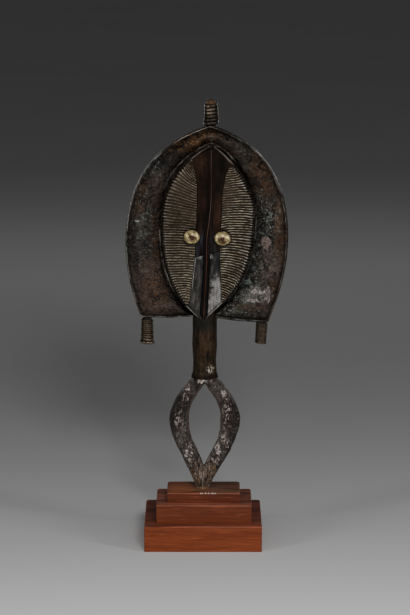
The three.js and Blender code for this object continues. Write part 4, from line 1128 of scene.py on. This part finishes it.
def cheek_plate(side):
    low_rows, inner_share = PLATE.low_rows, PLATE.inner_share

    def line(u, v, across_share):
        """Height of a row of the plate."""
        along = clamp((u - inner_share) / (1 - inner_share))
        strip = strip_height(side, 0, along) - SEAM
        if v <= low_rows:
            return lerp(FACE.bottom + 1, strip, (v / low_rows) ** 1.3)
        top = cheek_line(side, across_share) - PLATE.gap
        return lerp(strip, top, (v - low_rows) / (1 - low_rows))

    def spot(u, v):
        share = min(u / inner_share, 1) * 0.25
        height = line(u, v, share)
        middle = side.sign * ridge_middle(height) + PLATE.gap
        inner = reach_at(side, height, max(middle, 0))
        outer = reach_at(side, height, plate_half(side, height) - PLATE.gap)
        if outer < inner:
            outer = lerp(inner, 2, 0.5)
        return height, plate_row(side, inner, outer, u, inner_share)

    def place(u, v):
        height, reach = spot(u, v)
        point = face_point(side, height, reach)
        return point - Vector((0, face_dents(point) + PLATE.lift, 0))

    def beside(u, v):
        return hill(u, 0.475, 0.012) * ramp(v, 0.5, 0.15) * 0.8 if side is LEFT else 0.0

    def rim(u, v):
        return hill(spot(u, v)[1], 1.38, 0.16) if v <= low_rows else 0.0

    # Painted shade along the bend where the plate turns over the face's edge.
    def crease(u, v):
        return hill(spot(u, v)[1], 1.02, 0.13) if v <= low_rows else 0.0

    return grid(f"cheek_{side.name}", 44, 60, place, thick=SKIN, facing=(0, -1, 0),
                marks={"edge": beside, "rim": rim, "crease": crease},
                keep=lambda u, v: v < low_rows or u < inner_share)


def forehead_plate():
    high_rows, inner_share = PLATE.high_rows, PLATE.inner_share

    def place(u, v):
        side = LEFT if u < 0.5 else RIGHT
        out = abs(2 * u - 1)
        along = clamp((out - inner_share) / (1 - inner_share))
        strip = strip_height(side, 1, along) + SEAM
        share = min(out / inner_share, 1) * 0.25
        if v <= high_rows:
            height = lerp(cheek_line(side, share) + PLATE.gap, strip, v / high_rows)
        else:
            height = lerp(strip, FACE.top - 1, 1 - (1 - (v - high_rows) / (1 - high_rows)) ** 1.3)
        limit = side.rim.half(height) * lerp(1, 0.6, ramp(v, high_rows, 0.05))
        outer = reach_at(side, height, min(plate_half(side, height) - PLATE.gap, limit))
        point = face_point(side, height, plate_row(side, 0, outer, out, inner_share))
        return point - Vector((0, face_dents(point) + PLATE.lift, 0))

    # Line along the top edge that is painted pale, partly as wear and partly as a painted
    # highlight.
    def crest(u, v):
        out = abs(2 * u - 1)
        return hill(out, 0.78, 0.05) * ramp(v, high_rows, 0.03)

    return grid("forehead", 80, 90, place, thick=SKIN, facing=(0, -1, 0), marks={"crest": crest},
                keep=lambda u, v: v > high_rows or abs(2 * u - 1) < inner_share)


def nose_ridge(height_of_ridge):
    """Rib with hollow flanks and a sharp crest."""

    def place(u, v):
        height = lerp(FACE.bottom + RIDGE.foot, FACE.top - RIDGE.head, v)
        narrow = min(side.rim.half(height) for side in SIDES) / 2
        half = min(lerp(RIDGE.low_half, RIDGE.high_half, height / FACE.top), narrow)
        out, up = walk(RIDGE_PROFILE, u % 1.0)
        wave = 0.25 * grain((0, 0, height), 16, 7)
        crest = min(height_of_ridge, half)
        return head_point(ridge_middle(height) + wave + out * half, height,
                          crown(height) + PLATE.lift + up * crest)

    return grid("ridge", 32, 150, place, loop=True,
                marks={"crest": lambda u, v: walk(RIDGE_PROFILE, u % 1.0)[1]})


def strips(side, count, relief):
    """All strips of one side: each is a half-round band that turns over the face's edge."""

    def shape(v):
        spot = v * count
        part = spot - math.floor(spot) if v < 1 else 1.0
        return int(min(spot, count - 1e-6)), part

    def bulge(v):
        return math.sin(math.pi * shape(v)[1]) ** 1.4 if 0 < shape(v)[1] < 1 else 0.0

    def place(u, v):
        index, _ = shape(v)
        wobble = 0.003 * grain((u * 40, index * 3.1, side.sign * 5), 9, 2)
        order = clamp(v + wobble * (0 < v < 1))
        ride = 1 + 0.35 * grain((u * 22, index * 7.3, side.sign), 6, 8)
        lift = relief * bulge(v) * ride - 0.25
        return face_point(side, strip_height(side, order, u), strip_reach(side, order, u), lift)

    # The turn mark places the painted highlight on each strip's shoulder.
    return grid(f"strips_{side.name}_bands", 26, count * STRIP_ROWS, place, thick=SKIN * 0.9,
                facing=(0, -1, 0),
                marks={"crest": lambda u, v: bulge(v), "turn": lambda u, v: hill(u, 0.86, 0.07)})


class FIGURE_OT_face(bpy.types.Operator):
    """Builds the smooth plates of the brow and the cheeks."""

    bl_idname = "figure.face"
    bl_label = "Brow and cheek plates"

    def execute(self, context):
        brow = forehead_plate()
        smooth(brow)
        settle(brow, dark_plate(), "forehead_metal", "forehead_plate")
        metal = cheek_metal()
        for side in SIDES:
            cheek = cheek_plate(side)
            smooth(cheek)
            settle(cheek, metal, "cheek_metal", f"cheek_plate_{side.name}")
        return {"FINISHED"}


class FIGURE_OT_ridge(bpy.types.Operator):
    """Builds the rib down the middle of the face."""

    bl_idname = "figure.ridge"
    bl_label = "Nose ridge"

    def execute(self, context):
        ridge = nose_ridge(sizes().ridge / MM)
        smooth(ridge, 35)
        settle(ridge, ridge_metal(), "ridge_metal", "nose_ridge")
        return {"FINISHED"}


class FIGURE_OT_strips(bpy.types.Operator):
    """Builds the metal strips across both halves of the face."""

    bl_idname = "figure.strips"
    bl_label = "Strips"

    def execute(self, context):
        metal = strip_metal(colors())
        for side in SIDES:
            bands = strips(side, sizes().strips, sizes().relief / MM)
            smooth(bands, 70)
            settle(bands, metal, "strip_metal", f"strips_{side.name}")
        return {"FINISHED"}


# Eyes

def eye_frame(side, place):
    """Matrix from a boss's own frame, with its height along Z, to the model's."""
    seat = crown(side.eye[1]) - FACE.bulge * (side.eye[0] / FACE.half) ** 2
    lean = math.atan(2 * FACE.bulge * side.eye[0] / FACE.half ** 2)
    turn = Matrix.Rotation(math.pi / 2, 4, "X") @ Matrix.Rotation(lean, 4, "Y")
    return HEAD @ Matrix.Translation((place[0], -(seat + EYE.seat), place[1] + EYE.rise)) @ turn


def eye_boss(side):
    matrix = eye_frame(side, side.eye)

    def place(u, v):
        out, up = walk(BOSS_PROFILE, v)
        angle = 2 * math.pi * (u % 1.0)
        uneven = 1 + 0.03 * grain((math.cos(angle), math.sin(angle), side.sign), 1, 4)
        x = EYE.half_width * out * math.cos(angle) * uneven * 1.04
        y = EYE.half_height * out * math.sin(angle) * uneven * 1.07
        dent = 0.18 * grain((x, y, side.sign * 3), 3, 5) * up
        return matrix @ Vector((x, y, EYE.height * up + dent))

    return grid(f"eye_{side.name}", 40, 24, place, loop=True,
                marks={"crest": lambda u, v: v})


def eye_nail(side):
    matrix = eye_frame(side, side.nail)

    def place(u, v):
        out, up = walk(NAIL_PROFILE, v)
        angle = 2 * math.pi * (u % 1.0)
        ragged = 1 + 0.12 * grain((math.cos(angle), math.sin(angle), side.sign * 2), 0.8, 3)
        return matrix @ Vector((out * ragged * math.cos(angle), out * ragged * math.sin(angle), up))

    return grid(f"nail_{side.name}", 18, 21, place, loop=True)


class FIGURE_OT_eyes(bpy.types.Operator):
    """Builds the domed discs of the eyes and their nails."""

    bl_idname = "figure.eyes"
    bl_label = "Eye bosses and nails"

    def execute(self, context):
        brass, iron = eye_metal(colors()), rusty_iron()
        for side in SIDES:
            boss, nail = eye_boss(side), eye_nail(side)
            smooth(boss, 60)
            smooth(nail, 60)
            settle(boss, brass, "eye_metal", f"eye_boss_{side.name}")
            settle(nail, iron, "nail_iron", f"eye_nail_{side.name}")
        return {"FINISHED"}


# Pegs and wire

def peg_frame(peg):
    place = Matrix.Translation((peg.at[0], peg.back, peg.at[1]))
    return HEAD @ place @ Matrix.Rotation(peg.tilt, 4, "Y")


def wire_wrap(peg):
    """Wire wound round a peg, each turn lying on the one before."""
    matrix = peg_frame(peg)
    pitch = peg.wound / peg.turns
    start = pitch / 2
    span = peg.wound - pitch

    def place(u, v):
        turn = v * peg.turns
        thick = lerp(peg.wire[0], peg.wire[1], v) / 2
        angle = 2 * math.pi * turn + 0.9
        around = 2 * math.pi * (u % 1.0)
        wave = 0.3 * grain((turn * 2.2, peg.at[0], 0), 1, 6)
        loose = peg.loose * ramp(v, 0.86, 0.14)
        radius = peg.radius + 0.3 + thick + thick * math.cos(around) * (1 + wave) + loose
        wider = 1 + peg.open * (1.5 * v * v - 0.5)
        height = (start + span * (v + peg.open * (v ** 3 - v) / 2)
                  + 0.47 * pitch * wider * math.sin(around) + 0.3 * wave)
        return matrix @ Vector((radius * math.cos(angle), radius * math.sin(angle),
                                height * peg.up))

    return grid(f"wire_{peg.name}", 9, peg.turns * 22, place, loop=True,
                marks={"crest": lambda u, v: (1 + math.cos(2 * math.pi * u)) / 2})


def peg_wood(peg):
    matrix = peg_frame(peg)
    profile = ((0.0, -4.0), (peg.radius * 0.7, -4.0), (peg.radius, 0.9),
               (peg.radius, peg.wound - 1), (peg.radius - 0.7, peg.length - 1.6),
               (peg.radius - 2, peg.length - 0.4), (0.02, peg.length))

    def place(u, v):
        out, up = walk(profile, v)
        angle = 2 * math.pi * (u % 1.0)
        return matrix @ Vector((out * math.cos(angle), out * math.sin(angle), up * peg.up))

    return grid(f"peg_{peg.name}", 24, 24, place, loop=True)


class FIGURE_OT_wire(bpy.types.Operator):
    """Winds the wire round the three pegs."""

    bl_idname = "figure.wire"
    bl_label = "Wire on the pegs"

    def execute(self, context):
        metal = wire_metal()
        for peg in PEGS:
            wrap = wire_wrap(peg)
            smooth(wrap, 80)
            settle(wrap, metal, "peg_wire", peg.name)
        return {"FINISHED"}


# Neck

def neck_sheath():
    """The neck's sheet, made round and finely divided from the model's own piece."""
    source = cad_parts["neck_sheath"]
    sheath = source.copy()
    sheath.data = source.data.copy()
    bpy.context.scene.collection.objects.link(sheath)
    sheath.parent = None
    for key in list(sheath.keys()):
        del sheath[key]
    sheath.name = sheath.data.name = "sheath"
    edit(sheath, lambda: bpy.ops.mesh.remove_doubles(threshold=1e-6))
    apply(sheath, "SUBSURF", subdivision_type="SIMPLE", levels=3, render_levels=3)
    for vertex in sheath.data.vertices:
        x, y = vertex.co.x / MM - FIGURE_SHIFT, vertex.co.y / MM - FIGURE_Y
        step = 2 * math.pi / NECK_FACETS
        within = (math.atan2(y, x) + 4 * math.pi) % step
        round_off = math.cos(within - step / 2) / math.cos(step / 2)
        z = vertex.co.z / MM
        dent = 0.25 * grain((x, y, z * 0.5), 7, 3) + 0.12 * grain((x, y, z), 3, 8)
        grow = round_off * (1 + dent / 12.5)
        vertex.co.x = (FIGURE_SHIFT + x * grow) * MM
        vertex.co.y = (FIGURE_Y + y * grow) * MM
    return sheath


class FIGURE_OT_sheath(bpy.types.Operator):
    """Builds the metal sheet round the neck."""

    bl_idname = "figure.sheath"
    bl_label = "Neck sheath"

    def execute(self, context):
        sheath = neck_sheath()
        smooth(sheath, 45)
        settle(sheath, sheath_metal(), "sheath_metal", "neck_sheath")
        return {"FINISHED"}


# Carved wood

def limb(sign):
    """One side of the open lozenge, with its outer arris rounded and its inner one cut off."""

    def place(u, v):
        height = (BASE_HEIGHT - 0.3) * v
        rise = 2 * height / BASE_HEIGHT
        depth = (lerp(LIMB.foot, LIMB.middle, rise) if rise < 1
                 else lerp(LIMB.middle, LIMB.top, rise - 1))
        opening = opening_half(height)
        inner = opening if opening > 0 else -0.5
        outer = BASE_SIDE.half(height)
        past = max(OPENING.bottom - height, height - OPENING.top, 0)
        bevel = (outer - inner) * LIMB.bevel
        notch = min(LIMB.notch * max(1 - past / LIMB.fade, 0.1), bevel)
        side = min(LIMB.side, bevel)
        front = ((inner, depth - notch), (inner + notch, depth), (outer - side, depth),
                 (outer, depth - LIMB.fall))
        section = front + tuple((x, -y) for x, y in reversed(front))
        x, y = walk(section + section[:1], u % 1.0)
        drift = LIMB.drift * max(1 - height / LIMB.drift_height, 0)
        return (FIGURE_SHIFT + sign * x + drift, FIGURE_Y - y, STAND_TOP + height)

    return grid("limb", 32, 90, place, loop=True)


def carve(piece, depth):
    """Roughens a mesh along its normals, as a knife leaves wood."""
    moves = []
    for vertex in piece.data.vertices:
        point = vertex.co / MM
        stretched = (point.x, point.y, point.z * 0.45)
        rough = (0.9 * grain(stretched, 5, 3) + 0.7 * grain(stretched, 2.4, 7)
                 - 0.5 * abs(grain(stretched, 9, 1)))
        keep = clamp((point.z - STAND_TOP) / 3) * clamp((RIM_HEIGHT - 0.3 - point.z) / 2 + 0.2)
        moves.append(vertex.normal * (depth * rough * keep * MM))
    for vertex, move in zip(piece.data.vertices, moves):
        vertex.co += move


def mark_facets(piece):
    """Marks the cut-off inner arris of the lozenge for the material."""
    values = []
    for vertex in piece.data.vertices:
        x, height = vertex.co.x / MM - FIGURE_SHIFT, vertex.co.z / MM - STAND_TOP
        opening = opening_half(height)
        inside = abs(x) - opening
        values.append(clamp((3.2 - inside) / 0.5) if opening > 0 else 0.0)
    note(piece, "facet", values)


def head_board():
    """Wooden board behind the sheets, full and plain at the back."""
    offset = -SKIN - PLAY
    stations = [(LEFT, p) for p in hood_outline(LEFT, 10, 30, 40)]
    stations += [(RIGHT, p) for p in reversed(hood_outline(RIGHT, 10, 30, 40)[:-1])]
    stations.append(stations[0])

    def place(u, v):
        side, point = stations[round(u * (len(stations) - 1))]
        rim = math.hypot(point[0], point[1] - FACE.middle)
        front_edge = RIM_DEPTH + offset - 1
        if v <= BOARD.front:
            share = v / BOARD.front
            return ray_point(side, point, (rim + offset) * lerp(0.5, 1, share),
                             lerp(-1, front_edge, share))
        if v <= BOARD.front + BOARD.edge:
            share = (v - BOARD.front) / BOARD.edge
            return ray_point(side, point, rim + offset,
                             lerp(front_edge, -BACK_DEPTH - offset, share))
        share = 1 - (v - BOARD.front - BOARD.edge) / BOARD.back * BOARD.reach
        flat = ray_point(side, point, (rim + offset) * share, back_depth(share) - offset)
        return flat + Vector((0, 0.35 * grain(flat, 18, 5) - 0.2, 0))

    return grid("board", len(stations) - 1, 30, place, loop=True)


def tongue():
    """Core of the neck, which tapers out on the back of the board."""
    profile = [(r - SKIN - PLAY, z) for r, z in NECK_RADII]
    profile = [(profile[0][0], -2.6)] + profile[:-1] + [(11.3, 72.5), (5.8, 100.5), (0.02, 100.5)]

    def place(u, v):
        out, up = walk(profile, v)
        angle = 2 * math.pi * (u % 1.0)
        return (FIGURE_SHIFT + out * math.cos(angle), FIGURE_Y + out * math.sin(angle),
                RIM_HEIGHT + up)

    return grid("tongue", 32, 42, place, loop=True)


class FIGURE_OT_wood(bpy.types.Operator):
    """Carves the open base, the head board and the pegs."""

    bl_idname = "figure.wood"
    bl_label = "Carved wood"

    def execute(self, context):
        base = join("base", [limb(-1), limb(1)])
        apply(base, "REMESH", mode="VOXEL", voxel_size=VOXEL * MM)
        apply(base, "SMOOTH", factor=0.5, iterations=1)
        carve(base, sizes().carving / MM)
        mark_facets(base)
        wood = join("carving", [base, head_board(), tongue(), *[peg_wood(peg) for peg in PEGS]])
        smooth(wood, 60)
        settle(wood, crusted_wood(colors()), "carved_wood", "wood_figure")
        return {"FINISHED"}


# Stand

def slab(node, arris):
    """Slab at a node's place, with rounded corners and a soft upper edge."""
    low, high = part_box(node)
    middle, size = (low + high) / 2, high - low
    deselect()
    bpy.ops.mesh.primitive_cube_add(size=1, location=middle, scale=size)
    piece = bpy.context.object
    bpy.ops.object.transform_apply(location=True, rotation=True, scale=True)
    piece.name = piece.data.name = node.replace("plinth_", "stand_")

    def upright(a, b):
        return abs(a.z - b.z) > size.z / 2

    for wanted, width in ((lambda a, b: upright(a, b) and a.y > middle.y, 5 * arris),
                          (lambda a, b: upright(a, b) and a.y < low.y + arris * MM, 1.5 * arris),
                          (lambda a, b: min(a.z, b.z) > middle.z, arris)):
        edit_some(piece, "EDGE",
                  lambda edge: wanted(*(piece.data.vertices[k].co for k in edge.vertices)),
                  lambda: bpy.ops.mesh.bevel(offset=width, segments=4, affect="EDGES"))
    return piece


class FIGURE_OT_stand(bpy.types.Operator):
    """Builds the three slabs of the stand."""

    bl_idname = "figure.stand"
    bl_label = "Stand"

    def execute(self, context):
        for node, dark, top, seed, shade in SLABS:
            piece = slab(node, sizes().arris)
            smooth(piece, 30)
            # The share darkens the higher slabs as painted shade.
            stain = (*(c * shade for c in colors().stand), 1)
            height = max(v.co.z for v in piece.data.vertices) / MM
            settle(piece, stand_wood(node, stain, dark, top, seed, height), "stand_wood", node)
        return {"FINISHED"}


# Stage

def area_light(name, place, aim, size, power, spread):
    deselect()
    bpy.ops.object.light_add(type="AREA", location=place)
    lamp = bpy.context.object
    lamp.name = name
    lamp.data.shape = "RECTANGLE"
    lamp.data.size, lamp.data.size_y = size
    lamp.data.energy = power
    lamp.data.spread = math.radians(spread)
    lamp.rotation_euler = (Vector(aim) - Vector(place)).to_track_quat("-Z", "Y").to_euler()


class FIGURE_OT_stage(bpy.types.Operator):
    """Sets the floor, the lights and the camera."""

    bl_idname = "figure.stage"
    bl_label = "Stage"

    def execute(self, context):
        deselect()
        bpy.ops.mesh.primitive_plane_add(size=40)
        floor = context.object
        floor.name = "floor"
        floor.data.materials.append(floor_paint())
        world = bpy.data.worlds.new("studio")
        world.use_nodes = True
        sky = world.node_tree.nodes["Background"]
        sky.inputs["Color"].default_value = (1, 1, 1, 1)
        sky.inputs["Strength"].default_value = WORLD_LIGHT
        context.scene.world = world
        for light in LIGHTS:
            area_light(*light)
        deselect()
        bpy.ops.object.camera_add(location=CAMERA.place,
                                  rotation=(math.radians(90 - CAMERA.down), 0, 0))
        camera = context.object
        camera.data.sensor_width = CAMERA.sensor
        camera.data.lens = CAMERA.lens * CAMERA.sensor
        camera.data.clip_start, camera.data.clip_end = 0.05, 60
        context.scene.camera = camera
        return {"FINISHED"}


class FIGURE_PT_panel(bpy.types.Panel):
    """Panel that lists the figure's settings and steps."""

    bl_idname = "FIGURE_PT_panel"
    bl_label = "Reliquary figure"
    bl_space_type = "VIEW_3D"
    bl_region_type = "UI"
    bl_category = "Figure"

    def draw(self, context):
        column = self.layout.column()
        for group in (context.scene.figure_sizes, context.scene.figure_colors):
            for key in group.bl_rna.properties.keys():
                if key not in ("rna_type", "name"):
                    column.prop(group, key)
        for step in STEPS:
            column.operator(step.bl_idname)


STEPS = (FIGURE_OT_stage, FIGURE_OT_hood, FIGURE_OT_face, FIGURE_OT_ridge, FIGURE_OT_strips,
         FIGURE_OT_eyes, FIGURE_OT_wire, FIGURE_OT_sheath, FIGURE_OT_wood, FIGURE_OT_stand)
CLASSES = (FIGURE_sizes, FIGURE_colors, *STEPS, FIGURE_PT_panel)


def register():
    for group in CLASSES:
        bpy.utils.register_class(group)
    bpy.types.Scene.figure_sizes = PointerProperty(type=FIGURE_sizes)
    bpy.types.Scene.figure_colors = PointerProperty(type=FIGURE_colors)


def unregister():
    del bpy.types.Scene.figure_colors
    del bpy.types.Scene.figure_sizes
    for group in reversed(CLASSES):
        bpy.utils.unregister_class(group)


def main():
    register()
    for step in STEPS:
        section, name = step.bl_idname.split(".")
        getattr(getattr(bpy.ops, section), name)()


if __name__ == "__main__":
    main()
